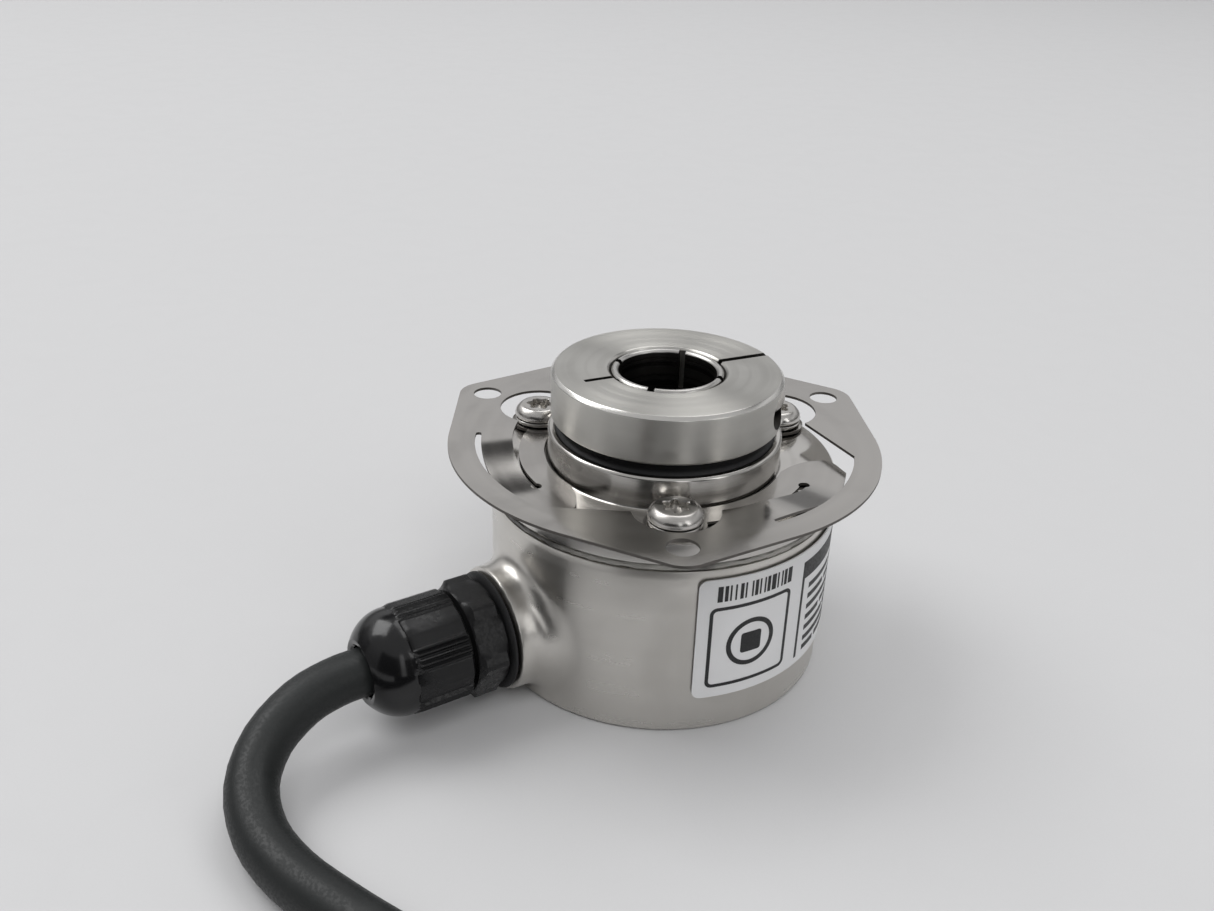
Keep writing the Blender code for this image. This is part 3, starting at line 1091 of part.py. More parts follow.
def main():
    """Build every part of the encoder."""
    brushed = finish("brushed_steel", (0.62, 0.61, 0.59), 0.30, 1.0)
    polished = finish("polished_steel", (0.66, 0.65, 0.63), 0.16, 1.0)
    spring = finish("spring_steel", (0.60, 0.58, 0.56), 0.18, 1.0)
    bearing_steel = finish("bearing_steel", (0.58, 0.58, 0.58), 0.20, 1.0)
    screw_steel = finish("screw_steel", (0.62, 0.60, 0.57), 0.24, 1.0)
    rubber = finish("black_rubber", (0.02, 0.02, 0.02), 0.60, 0.0)
    sealant = finish("sealant", (0.30, 0.27, 0.22), 0.50, 0.0)
    film = finish("label_film", (0.86, 0.86, 0.86), 0.35, 0.0)
    glass = finish("disc_glass", (0.55, 0.62, 0.62), 0.10, 0.0)
    brass = finish("brass", (0.72, 0.52, 0.24), 0.32, 1.0)
    laminate = finish("board_laminate", (0.03, 0.22, 0.08), 0.45, 0.0)
    dark_plastic = finish("dark_plastic", (0.03, 0.03, 0.035), 0.45, 0.0)
    cage_brass = finish("cage_brass", (0.60, 0.48, 0.28), 0.35, 1.0)
    gland_black = finish("gland_plastic", (0.018, 0.018, 0.020), 0.35, 0.0)
    sheath = finish("cable_sheath", (0.045, 0.047, 0.050), 0.50, 0.0)
    lead_film = finish("lead_insulation", (0.45, 0.32, 0.18), 0.40, 0.0)

    gland_axis = bpy.data.objects.new("gland_axis", None)
    PARTS.objects.link(gland_axis)
    gland_axis.matrix_world = (Matrix.Translation((0.0, 0.0, GLAND_HEIGHT)) @ turn(GLAND_ANGLE)
                               @ Matrix.Rotation(math.radians(90.0), 4, "Y"))
    clamp_screw_axis = bpy.data.objects.new("clamp_screw_axis", None)
    PARTS.objects.link(clamp_screw_axis)
    clamp_screw_axis.matrix_world = clamp_screw_matrix()

    housing_cup(polished, gland_axis)
    front_flange(polished)
    housing_seals(rubber, sealant)
    hollow_shaft(brushed)
    clamp_ring(brushed)
    clamp_screw(screw_steel, clamp_screw_axis)
    bearing("front_bearing", FRONT_BEARING_BOTTOM, bearing_steel, cage_brass)
    bearing("rear_bearing", REAR_BEARING_BOTTOM, bearing_steel, cage_brass)
    bearing_trim(bearing_steel)
    stator_coupling(spring)
    coupling_screws(screw_steel)
    rating_label(film)
    code_disc(glass, brass)
    main_board(laminate, brass, screw_steel)
    optics(dark_plastic, dark_plastic)
    terminal_block(dark_plastic, gland_axis)
    gland_body(gland_black, gland_axis)
    gland_seals(rubber, gland_axis)
    gland_dome_nut(gland_black, gland_axis)
    inner_cable(sheath, lead_film, gland_axis)
    outer_cable(sheath, lead_film)


clear_scene()
PARTS = new_collection("rotary_encoder")
CUTTERS = new_collection("cutters")
main()
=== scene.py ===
"""Visual model of a hollow-shaft rotary encoder with a spring-sheet coupling and a cable gland.

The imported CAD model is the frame. Every piece below is placed from its sizes, in metres.
"""
import json
import logging
import math
from collections.abc import Callable
from dataclasses import dataclass
from enum import Enum

import bmesh
import bpy
import numpy as np
from mathutils import Matrix, Vector, noise
from mathutils.geometry import delaunay_2d_cdt

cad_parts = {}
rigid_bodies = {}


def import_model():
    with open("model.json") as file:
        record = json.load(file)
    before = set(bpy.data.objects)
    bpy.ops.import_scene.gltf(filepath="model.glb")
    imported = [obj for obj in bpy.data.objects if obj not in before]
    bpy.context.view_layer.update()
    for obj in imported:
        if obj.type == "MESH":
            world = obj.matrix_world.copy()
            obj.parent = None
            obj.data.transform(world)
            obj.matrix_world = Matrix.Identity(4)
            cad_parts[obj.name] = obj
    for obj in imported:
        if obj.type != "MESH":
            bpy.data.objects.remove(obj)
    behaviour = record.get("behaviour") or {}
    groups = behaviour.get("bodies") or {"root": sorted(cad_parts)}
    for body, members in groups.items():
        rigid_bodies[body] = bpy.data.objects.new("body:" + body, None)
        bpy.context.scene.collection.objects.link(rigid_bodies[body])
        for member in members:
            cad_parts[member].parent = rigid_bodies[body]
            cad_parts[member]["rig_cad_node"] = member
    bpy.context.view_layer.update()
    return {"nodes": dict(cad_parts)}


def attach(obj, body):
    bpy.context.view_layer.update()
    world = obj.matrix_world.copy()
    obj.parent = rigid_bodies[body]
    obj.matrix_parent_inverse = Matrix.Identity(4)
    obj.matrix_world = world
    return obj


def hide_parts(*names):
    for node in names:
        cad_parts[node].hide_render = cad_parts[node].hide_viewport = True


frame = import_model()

LOG = logging.getLogger("encoder")
Pair = tuple[float, float]
Triple = tuple[float, float, float]
MM = 0.001


# ---------------------------------------------------------------- node work

class Shade:
    """The node tree of one material or node group, with short calls to add and join nodes."""

    def __init__(self, tree: bpy.types.NodeTree) -> None:
        """Keep the tree that nodes are added to."""
        self.tree = tree

    def node(self, kind: str, inputs: dict | None = None, **settings: object) -> bpy.types.Node:
        """Add a node.

        Args:
            kind: Blender's name of the node type.
            inputs: Values or sockets for the node's inputs, by name or number.
            settings: Properties of the node.

        Returns:
            The new node.
        """
        made = self.tree.nodes.new(kind)
        for key, value in settings.items():
            setattr(made, key, value)
        for key, value in (inputs or {}).items():
            socket = made.inputs[key]
            if isinstance(value, bpy.types.NodeSocket):
                self.tree.links.new(value, socket)
            else:
                socket.default_value = value
        return made

    def maths(self, operation: str, *values: object) -> bpy.types.NodeSocket:
        """Add a Math node and return its result socket."""
        return self.node("ShaderNodeMath", dict(enumerate(values)), operation=operation).outputs[0]

    def ranged(self, value: object, low: float, high: float, to_low: float,
               to_high: float) -> bpy.types.NodeSocket:
        """Map a value from one range to another with a smooth, clamped ramp.

        Args:
            value: Socket to map.
            low: Value that gives to_low.
            high: Value that gives to_high.
            to_low: Result at low.
            to_high: Result at high.

        Returns:
            The result socket.
        """
        mapped = self.node("ShaderNodeMapRange", {0: value, 1: low, 2: high, 3: to_low, 4: to_high},
                           interpolation_type="SMOOTHSTEP")
        return mapped.outputs[0]

    def mixed(self, mask: object, first: object, second: object) -> bpy.types.NodeSocket:
        """Mix two colours by a mask and return the colour socket."""
        mixer = self.node("ShaderNodeMix", {0: mask, 6: first, 7: second}, data_type="RGBA")
        return mixer.outputs[2]

    def here(self) -> bpy.types.NodeSocket:
        """Return the place on the object, in its own metres."""
        return self.node("ShaderNodeTexCoord").outputs["Object"]


def rgba(colour: Triple) -> tuple[float, float, float, float]:
    """Add a full alpha to a colour."""
    return (*colour, 1.0)


class Effect(Enum):
    """Surface effects shared between materials, each one a node group."""

    TURNED = "turned_lines"
    GRAIN = "fine_grain"
    HANDLING = "handling_marks"


class Effects:
    """Builds each shared effect once and places it in materials."""

    def __init__(self) -> None:
        """Build every effect's group."""
        makers = {Effect.TURNED: self.turned, Effect.GRAIN: self.grain, Effect.HANDLING: self.handling}
        self.groups = {effect: maker(effect.value) for effect, maker in makers.items()}

    @staticmethod
    def start(name: str, inputs: dict[str, float | None], outputs: tuple[str, ...]) -> tuple:
        """Make an empty group with its sockets.

        Args:
            name: Name of the group.
            inputs: Default of each input; None makes a vector input.
            outputs: Names of the float outputs.

        Returns:
            The shade helper, the group's input node and its output node.
        """
        tree = bpy.data.node_groups.new(name, "ShaderNodeTree")
        for label, default in inputs.items():
            kind = "NodeSocketVector" if default is None else "NodeSocketFloat"
            socket = tree.interface.new_socket(label, in_out="INPUT", socket_type=kind)
            if default is not None:
                socket.default_value = default
        for label in outputs:
            tree.interface.new_socket(label, in_out="OUTPUT", socket_type="NodeSocketFloat")
        shade = Shade(tree)
        return shade, shade.node("NodeGroupInput"), shade.node("NodeGroupOutput")

    def turned(self, name: str) -> bpy.types.NodeTree:
        """Fine rings that a lathe tool leaves about the Z axis of the vector."""
        shade, given, out = self.start(name, {"Vector": None, "Scale": 4000.0}, ("Height", "Mask"))
        parts = shade.node("ShaderNodeSeparateXYZ", {0: given.outputs["Vector"]}).outputs
        radius = shade.maths("SQRT", shade.maths("ADD", shade.maths("MULTIPLY", parts[0], parts[0]),
                                                 shade.maths("MULTIPLY", parts[1], parts[1])))
        flat = shade.node("ShaderNodeCombineXYZ", {0: radius, 1: parts[2]}).outputs[0]
        fine = shade.node("ShaderNodeTexNoise", {"Vector": flat, "Scale": given.outputs["Scale"],
                                                 "Detail": 3.0, "Roughness": 0.6})
        coarse_scale = shade.maths("MULTIPLY", given.outputs["Scale"], 0.16)
        coarse = shade.node("ShaderNodeTexNoise", {"Vector": flat, "Scale": coarse_scale, "Detail": 2.0})
        height = shade.maths("ADD", shade.maths("MULTIPLY", fine.outputs[0], 0.6),
                             shade.maths("MULTIPLY", coarse.outputs[0], 0.4))
        shade.tree.links.new(height, out.inputs["Height"])
        shade.tree.links.new(shade.ranged(coarse.outputs[0], 0.35, 0.65, 0.0, 1.0), out.inputs["Mask"])
        return shade.tree

    def grain(self, name: str) -> bpy.types.NodeTree:
        """Even fine grain, as on etched or moulded surfaces."""
        shade, given, out = self.start(name, {"Vector": None, "Scale": 3000.0}, ("Height", "Mask"))
        cells = shade.node("ShaderNodeTexVoronoi", {"Vector": given.outputs["Vector"],
                                                    "Scale": given.outputs["Scale"]})
        cloud = shade.node("ShaderNodeTexNoise", {"Vector": given.outputs["Vector"],
                                                  "Scale": given.outputs["Scale"], "Detail": 4.0})
        height = shade.maths("ADD", shade.maths("MULTIPLY", cells.outputs[0], 0.5), cloud.outputs[0])
        shade.tree.links.new(height, out.inputs["Height"])
        shade.tree.links.new(shade.ranged(cloud.outputs[0], 0.4, 0.6, 0.0, 1.0), out.inputs["Mask"])
        return shade.tree

    def handling(self, name: str) -> bpy.types.NodeTree:
        """Soft smudges and sparse fine scratches from handling."""
        shade, given, out = self.start(name, {"Vector": None, "Scale": 60.0}, ("Smudge", "Scratch"))
        cloud = shade.node("ShaderNodeTexNoise", {"Vector": given.outputs["Vector"],
                                                  "Scale": given.outputs["Scale"], "Detail": 5.0,
                                                  "Distortion": 0.8})
        shade.tree.links.new(shade.ranged(cloud.outputs[0], 0.42, 0.66, 0.0, 1.0), out.inputs["Smudge"])
        turned = shade.node("ShaderNodeMapping", {"Vector": given.outputs["Vector"],
                                                  "Rotation": (0.5, 0.3, 0.7), "Scale": (1.0, 26.0, 3.0)})
        lines = shade.node("ShaderNodeTexNoise", {"Vector": turned.outputs[0],
                                                  "Scale": given.outputs["Scale"], "Detail": 2.0})
        shade.tree.links.new(shade.ranged(lines.outputs[0], 0.70, 0.74, 0.0, 1.0), out.inputs["Scratch"])
        return shade.tree

    def place(self, shade: Shade, effect: Effect, **inputs: object) -> bpy.types.Node:
        """Place an effect in a material with its own values.

        Args:
            shade: The material's tree.
            effect: Which effect.
            inputs: Values or sockets of the group's inputs.

        Returns:
            The group node.
        """
        made = shade.node("ShaderNodeGroup", node_tree=self.groups[effect])
        for key, value in inputs.items():
            if isinstance(value, bpy.types.NodeSocket):
                shade.tree.links.new(value, made.inputs[key])
            else:
                made.inputs[key].default_value = value
        return made


def new_material(name: str) -> tuple[bpy.types.Material, Shade, bpy.types.Node]:
    """Start a material: returns it, its tree helper and its Principled shader."""
    material = bpy.data.materials.new(name)
    material.use_nodes = True
    shader = material.node_tree.nodes["Principled BSDF"]
    return material, Shade(material.node_tree), shader


@dataclass(frozen=True)
class Steel:
    """Stainless steel as it leaves a lathe, a press or a polishing wheel."""

    name: str
    colour: Triple = (0.60, 0.585, 0.565)
    shadow: Triple = (0.42, 0.40, 0.38)
    roughness: float = 0.22
    spread: float = 0.10
    lines: float = 3500.0
    depth: float = 0.00002
    smudge_scale: float = 55.0
    brushed: float = 0.0

    def build(self, effects: Effects) -> bpy.types.Material:
        """Build the material.

        Args:
            effects: The shared effects.

        Returns:
            The material.
        """
        material, shade, shader = new_material(self.name)
        place = shade.here()
        turned = effects.place(shade, Effect.TURNED, Vector=place, Scale=self.lines)
        marks = effects.place(shade, Effect.HANDLING, Vector=place, Scale=self.smudge_scale)
        shader.inputs["Metallic"].default_value = 1.0
        shader.inputs["Anisotropic"].default_value = self.brushed
        shader.inputs["Anisotropic Rotation"].default_value = 0.25
        colour = shade.mixed(shade.maths("MULTIPLY", marks.outputs["Smudge"], 0.35),
                             rgba(self.colour), rgba(self.shadow))
        shade.tree.links.new(colour, shader.inputs["Base Color"])
        rough = shade.maths("ADD", shade.ranged(turned.outputs["Mask"], 0.0, 1.0, self.roughness,
                                                self.roughness + self.spread),
                            shade.maths("MULTIPLY", marks.outputs["Smudge"], 0.07))
        rough = shade.maths("ADD", rough, shade.maths("MULTIPLY", marks.outputs["Scratch"], 0.05))
        shade.tree.links.new(rough, shader.inputs["Roughness"])
        bump = shade.node("ShaderNodeBump", {"Strength": 0.35, "Distance": self.depth,
                                             "Height": turned.outputs["Height"]})
        shade.tree.links.new(bump.outputs[0], shader.inputs["Normal"])
        return material


@dataclass(frozen=True)
class Moulded:
    """Rubber, plastic, film or laminate with a fine grain and a little dust."""

    name: str
    colour: Triple
    dust: Triple
    roughness: float = 0.5
    spread: float = 0.12
    grain: float = 3000.0
    depth: float = 0.00002
    dust_share: float = 0.2
    coat: float = 0.0
    gloss: float = 0.5

    def build(self, effects: Effects) -> bpy.types.Material:
        """Build the material.

        Args:
            effects: The shared effects.

        Returns:
            The material.
        """
        material, shade, shader = new_material(self.name)
        place = shade.here()
        grain = effects.place(shade, Effect.GRAIN, Vector=place, Scale=self.grain)
        marks = effects.place(shade, Effect.HANDLING, Vector=place, Scale=80.0)
        colour = shade.mixed(shade.maths("MULTIPLY", marks.outputs["Smudge"], self.dust_share),
                             rgba(self.colour), rgba(self.dust))
        shade.tree.links.new(colour, shader.inputs["Base Color"])
        rough = shade.ranged(grain.outputs["Mask"], 0.0, 1.0, self.roughness, self.roughness + self.spread)
        rough = shade.maths("ADD", rough, shade.maths("MULTIPLY", marks.outputs["Smudge"], 0.06))
        shade.tree.links.new(rough, shader.inputs["Roughness"])
        bump = shade.node("ShaderNodeBump", {"Strength": 0.4, "Distance": self.depth,
                                             "Height": grain.outputs["Height"]})
        shade.tree.links.new(bump.outputs[0], shader.inputs["Normal"])
        shader.inputs["Coat Weight"].default_value = self.coat
        shader.inputs["Specular IOR Level"].default_value = self.gloss
        return material


# ---------------------------------------------------------------- mesh work

Ring = Callable[[float], Pair]


def even(radius: float, height: float) -> Ring:
    """Ring of one radius and height all round."""
    return lambda angle: (radius, height)


def turned_rings(corners: list[Triple], spans: int = 3) -> list[Ring]:
    """Rings of a turned profile whose corners are rounded.

    Args:
        corners: Radius, height and corner rounding of each corner, in order.
        spans: Steps in each rounded corner.

    Returns:
        The rings.
    """
    points: list[Vector] = []
    for i, (radius, height, ease) in enumerate(corners):
        here = Vector((radius, height))
        if ease <= 0.0 or i in (0, len(corners) - 1):
            points.append(here)
            continue
        before = (Vector(corners[i - 1][:2]) - here).normalized() * ease
        after = (Vector(corners[i + 1][:2]) - here).normalized() * ease
        for k in range(spans + 1):
            t = k / spans
            points.append(here + before * (1 - t) ** 2 + after * t ** 2)
    return [even(point.x, point.y) for point in points]


def join_rows(solid: bmesh.types.BMesh, rows: list[list[bmesh.types.BMVert]]) -> list[bmesh.types.BMFace]:
    """Join rows of points, each a closed loop of the same count, and return the new faces."""
    return [solid.faces.new((near[k], near[(k + 1) % len(near)], far[(k + 1) % len(near)], far[k]))
            for near, far in zip(rows, rows[1:]) for k in range(len(near))]


def ringed(rings: list[Ring], steps: int, matrix: Matrix | None = None,
           closed: bool = False) -> bmesh.types.BMesh:
    """Make a solid from rings about Z; a ring of no radius closes an end.

    Args:
        rings: The rings, each a function from angle to radius and height.
        steps: Faces round the solid.
        matrix: Placement of the solid.
        closed: Whether the last ring joins the first.

    Returns:
        The solid.
    """
    solid = bmesh.new()
    rows = []
    for ring in rings:
        row = []
        for k in range(steps):
            angle = math.tau * k / steps
            radius, height = ring(angle)
            row.append(solid.verts.new((radius * math.cos(angle), radius * math.sin(angle), height)))
        rows.append(row)
    if closed:
        rows.append(rows[0])
    join_rows(solid, rows)
    bmesh.ops.remove_doubles(solid, verts=solid.verts, dist=1e-8)
    if matrix is not None:
        bmesh.ops.transform(solid, matrix=matrix, verts=solid.verts)
    bmesh.ops.recalc_face_normals(solid, faces=solid.faces)
    return solid


def to_mesh(name: str, solid: bmesh.types.BMesh, sharp: float = 32.0) -> bpy.types.Mesh:
    """Turn a solid into a mesh, smooth except over edges sharper than some degrees."""
    mesh = bpy.data.meshes.new(name)
    solid.to_mesh(mesh)
    solid.free()
    mesh.shade_smooth()
    mesh.set_sharp_from_angle(angle=math.radians(sharp))
    return mesh


def new_piece(name: str, mesh: bpy.types.Mesh, finishes: list[bpy.types.Material], body: str,
              replaced: tuple[str, ...], slot: str) -> bpy.types.Object:
    """Link a mesh as a piece.

    Args:
        name: Name of the piece.
        mesh: Its mesh.
        finishes: Its materials.
        body: The body that it rides on.
        replaced: The CAD nodes that it stands for.
        slot: The record's material slot of its finish; not used.

    Returns:
        The piece.
    """
    for finish in finishes:
        mesh.materials.append(finish)
    piece = bpy.data.objects.new(name, mesh)
    bpy.context.scene.collection.objects.link(piece)
    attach(piece, body)
    if replaced:
        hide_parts(*replaced)
    LOG.info("%s: %d faces on %s", name, len(mesh.polygons), body)
    return piece


def paint(mesh: bpy.types.Mesh, index: int, test: Callable[[float, float], bool],
          matrix: Matrix | None = None) -> None:
    """Give a material index to the faces whose radius and height pass a test.

    Args:
        mesh: The mesh.
        index: The material index.
        test: Function from a face's distance from Z and its height.
        matrix: Frame in which the radius and height are read.
    """
    back = Matrix() if matrix is None else matrix.inverted()
    for face in mesh.polygons:
        spot = back @ face.center
        if face.material_index == 0 and test(math.hypot(spot.x, spot.y), spot.z):
            face.material_index = index


def cut(mesh: bpy.types.Mesh, tools: list[bmesh.types.BMesh], sharp: float = 32.0) -> bpy.types.Mesh:
    """Cut a mesh with closed solids.

    Args:
        mesh: The mesh to cut.
        tools: The solids that are taken away.
        sharp: Degrees over which an edge stays sharp.

    Returns:
        The cut mesh.
    """
    blank = bpy.data.objects.new("blank", mesh)
    bpy.context.scene.collection.objects.link(blank)
    cutters = []
    for tool in tools:
        for face in tool.faces:
            # Cut walls take material index 1, which the shaft and clamp fill with near-black steel: painted
            # shade in the slots, split, hole and pocket.
            face.material_index = 1
        cutter = bpy.data.objects.new("cutter", to_mesh("cutter", tool))
        bpy.context.scene.collection.objects.link(cutter)
        cutters.append(cutter)
        step = blank.modifiers.new("cut", "BOOLEAN")
        step.operation, step.object, step.solver = "DIFFERENCE", cutter, "EXACT"
    bpy.context.view_layer.update()
    made = bpy.data.meshes.new_from_object(blank.evaluated_get(bpy.context.evaluated_depsgraph_get()))
    for spare in (blank, *cutters):
        bpy.data.objects.remove(spare, do_unlink=True)
    made.name = mesh.name
    made.shade_smooth()
    made.set_sharp_from_angle(angle=math.radians(sharp))
    return made


def box(low: Triple, high: Triple, matrix: Matrix) -> bmesh.types.BMesh:
    """Block between two corners, placed by a matrix, to cut with."""
    solid = bmesh.new()
    bmesh.ops.create_cube(solid, size=1.0)
    size, middle = Vector(high) - Vector(low), (Vector(high) + Vector(low)) / 2
    bmesh.ops.transform(solid, verts=solid.verts,
                        matrix=matrix @ Matrix.Translation(middle) @ Matrix.Diagonal((*size, 1.0)))
    return solid


def about_z(angle: float) -> Matrix:
    """Turn about Z."""
    return Matrix.Rotation(angle, 4, "Z")


def polar(radius: float, angle: float) -> Pair:
    """Plane point from its radius and angle."""
    return (radius * math.cos(angle), radius * math.sin(angle))


def arc(centre: Pair, radius: float, start: float, end: float, count: int) -> list[Pair]:
    """Points on an arc, both ends included."""
    return [(centre[0] + radius * math.cos(start + (end - start) * i / (count - 1)),
             centre[1] + radius * math.sin(start + (end - start) * i / (count - 1)))
            for i in range(count)]


def rounded_box(low: Pair, high: Pair, corner: float) -> list[Pair]:
    """Outline of a rectangle with rounded corners."""
    middles = ((high[0] - corner, high[1] - corner), (low[0] + corner, high[1] - corner),
               (low[0] + corner, low[1] + corner), (high[0] - corner, low[1] + corner))
    return [point for i, middle in enumerate(middles)
            for point in arc(middle, corner, i * math.pi / 2, (i + 1) * math.pi / 2, 7)]


def split_long(loop: list[Pair], longest: float) -> list[Pair]:
    """Add points to a closed loop so that no side is longer than a limit."""
    points = []
    for (x1, y1), (x2, y2) in zip(loop, loop[1:] + loop[:1]):
        count = max(1, math.ceil(math.hypot(x2 - x1, y2 - y1) / longest))
        points += [(x1 + (x2 - x1) * k / count, y1 + (y2 - y1) * k / count) for k in range(count)]
    return points


def within(points: np.ndarray, loop: np.ndarray) -> np.ndarray:
    """Which points lie inside a closed loop."""
    hit = np.zeros(len(points), bool)
    for (x1, y1), (x2, y2) in zip(loop, np.roll(loop, -1, axis=0)):
        spans = (y1 > points[:, 1]) != (y2 > points[:, 1])
        if y1 != y2:
            hit ^= spans & (points[:, 0] < (x2 - x1) * (points[:, 1] - y1) / (y2 - y1) + x1)
    return hit


def plate(loops: list[list[Pair]], spacing: float,
          place: Callable[[float, float, float], Triple]) -> bmesh.types.BMesh:
    """Make a thin closed plate from an outline and its holes, with even triangles.

    Args:
        loops: The outline, then the holes, as plane points.
        spacing: Distance between the points added inside.
        place: Function from plane place and side (0 under, 1 over) to the point in space.

    Returns:
        The plate; its side faces have material index 1.
    """
    solid = bmesh.new()
    add_plate(solid, loops, spacing, place)
    return solid


def add_plate(solid: bmesh.types.BMesh, loops: list[list[Pair]], spacing: float,
              place: Callable[[float, float, float], Triple]) -> None:
    """Add a plate to a solid, as plate() makes it."""
    borders = [np.array(split_long(loop, spacing)) / MM for loop in loops]
    border = np.vstack(borders)
    edges, first = [], 0
    for loop in borders:
        edges += [(first + i, first + (i + 1) % len(loop)) for i in range(len(loop))]
        first += len(loop)
    step = spacing / MM
    low, high = borders[0].min(axis=0), borders[0].max(axis=0)
    xs, ys = np.meshgrid(np.arange(low[0], high[0], step), np.arange(low[1], high[1], step * 0.87))
    xs[1::2] += step / 2
    inner = np.column_stack((xs.ravel(), ys.ravel()))
    inner = inner[kept(inner, borders)]
    if len(inner):
        near = np.array([((border - point) ** 2).sum(axis=1).min() for point in inner])
        inner = inner[near > (0.55 * step) ** 2]
    flat = [Vector(point) for point in np.vstack((border, inner))]
    verts, _, faces, *_ = delaunay_2d_cdt(flat, edges, [], 0, 1e-6)
    middles = np.array([np.mean([verts[i][:] for i in face], axis=0) for face in faces])
    faces = [face for face, keep in zip(faces, kept(middles, borders)) if keep]
    sides = [[solid.verts.new(place(v.x * MM, v.y * MM, side)) for v in verts] for side in (0.0, 1.0)]
    uses: dict[tuple[int, int], int] = {}
    for face in faces:
        solid.faces.new([sides[1][i] for i in face])
        solid.faces.new([sides[0][i] for i in reversed(face)])
        for a, b in zip(face, face[1:] + face[:1]):
            uses[a, b] = uses.get((a, b), 0) + 1
    for a, b in uses:
        if (b, a) not in uses:
            solid.faces.new((sides[1][b], sides[1][a], sides[0][a], sides[0][b])).material_index = 1
    bmesh.ops.delete(solid, geom=[v for v in solid.verts if not v.link_faces], context="VERTS")


def kept(points: np.ndarray, borders: list[np.ndarray]) -> np.ndarray:
    """Which points lie on the plate: inside its outline and outside its holes."""
    keep = within(points, borders[0])
    for hole in borders[1:]:
        keep &= ~within(points, hole)
    return keep


# ---------------------------------------------------------------- housing

GLAND_ANGLE = math.radians(217.2)
GLAND_HEIGHT = 0.0103


@dataclass(frozen=True)
class Housing:
    """Cup with its boss, front flange, seam bead and shaft seal."""

    radius: float = 0.0250
    height: float = 0.0263
    wall: float = 0.0015
    corner: float = 0.0008
    boss_radius: float = 0.0090
    boss_reach: float = 0.0287
    fillet: float = 0.0030
    columns: int = 240
    patch_columns: int = 30
    rows: int = 24
    rings: int = 10

    def on_wall(self, across: float, height: float, proud: float = 0.0) -> Vector:
        """Point on the cup's wall from its place across the gland's axis and its height."""
        along = math.sqrt(self.radius ** 2 - across ** 2) + proud
        return about_z(GLAND_ANGLE) @ Vector((along, across, height))

    def boss_point(self, away: float, around: float, along: float) -> Vector:
        """Point beside the gland's axis: distance from it, angle round it and reach along it."""
        return about_z(GLAND_ANGLE) @ Vector((along, away * math.cos(around),
                                              GLAND_HEIGHT + away * math.sin(around)))

    def boss_rings(self, around: float) -> list[Vector]:
        """Points from the foot of the fillet over the boss to its middle, at one angle."""
        room = 9.0
        if math.sin(around) < -0.1:
            room = (GLAND_HEIGHT - 0.00095) / -math.sin(around) - self.boss_radius
        ease = 1.0 / (1.0 / max(room, 0.0003) ** 3 + 1.0 / self.fillet ** 3) ** (1 / 3)
        foot = self.boss_radius + ease
        reach = math.sqrt(self.radius ** 2 - (foot * math.cos(around)) ** 2)
        turn_in = reach + ease * foot * math.cos(around) ** 2 / reach
        top = min(turn_in + ease, self.boss_reach - 0.0006)
        spans = 9
        points = []
        for k in range(spans + 1):
            t = k / spans
            away = foot * (1 - t) ** 2 + self.boss_radius * (2 * t * (1 - t) + t * t)
            along = reach * (1 - t) ** 2 + turn_in * 2 * t * (1 - t) + top * t * t
            points.append(self.boss_point(away, around, along))
        ragged = 0.00007 * noise.noise(Vector((math.cos(around), math.sin(around), 0.0)) * 9.0)
        rim = self.boss_reach + ragged
        for away, along in ((self.boss_radius, rim - 0.0004), (self.boss_radius - 0.0001, rim - 0.00015),
                            (self.boss_radius - 0.0004, rim), (self.boss_radius * 0.7, self.boss_reach)):
            points.append(self.boss_point(away, around, along))
        return points

    def cup(self) -> bpy.types.Mesh:
        """Build the cup: wall with the boss drawn out of it, rim, inside and base."""
        solid = bmesh.new()
        low, high = self.corner, self.height - 0.0004
        grid: dict[tuple[int, int], bmesh.types.BMVert] = {}
        half = self.patch_columns
        for i in range(self.columns):
            offset = i if i <= self.columns // 2 else i - self.columns
            angle = GLAND_ANGLE + math.tau * i / self.columns
            for j in range(self.rows + 1):
                if abs(offset) < half and 0 < j < self.rows:
                    continue
                z = low + (high - low) * j / self.rows
                grid[i, j] = solid.verts.new((*polar(self.radius, angle), z))
        for i in range(self.columns):
            after = (i + 1) % self.columns
            offset = i if i < self.columns // 2 else i - self.columns
            if -half <= offset < half:
                continue
            for j in range(self.rows):
                solid.faces.new((grid[i, j], grid[after, j], grid[after, j + 1], grid[i, j + 1]))
        self.add_boss(solid, grid)
        self.add_turned(solid, grid)
        bmesh.ops.recalc_face_normals(solid, faces=solid.faces)
        return to_mesh("cup", solid, 40.0)

    def add_boss(self, solid: bmesh.types.BMesh, grid: dict) -> None:
        """Fill the gap in the wall's grid with rings that run in to the boss and over it."""
        half, rows, columns = self.patch_columns, self.rows, self.columns
        border = [(i % columns, 0) for i in range(-half, half)]
        border += [(half, j) for j in range(rows)]
        border += [(i % columns, rows) for i in range(half, -half, -1)]
        border += [((-half) % columns, j) for j in range(rows, 0, -1)]
        ring = [grid[key] for key in border]
        places = []
        for vertex in ring:
            flat = about_z(-GLAND_ANGLE) @ vertex.co
            places.append((flat.y, flat.z))
        arounds = [math.atan2(z - GLAND_HEIGHT, across) for across, z in places]
        bosses = [self.boss_rings(around) for around in arounds]
        rings = [ring]
        for k in range(1, self.rings):
            t = 1.0 - (1.0 - k / self.rings) ** 1.5
            row = []
            for (across, z), boss in zip(places, bosses):
                foot = about_z(-GLAND_ANGLE) @ boss[0]
                spot = self.on_wall(across + (foot.y - across) * t, z + (foot.z - z) * t)
                row.append(solid.verts.new(spot))
            rings.append(row)
        for k in range(len(bosses[0])):
            rings.append([solid.verts.new(boss[k]) for boss in bosses])
        join_rows(solid, rings)
        solid.faces.new(rings[-1])

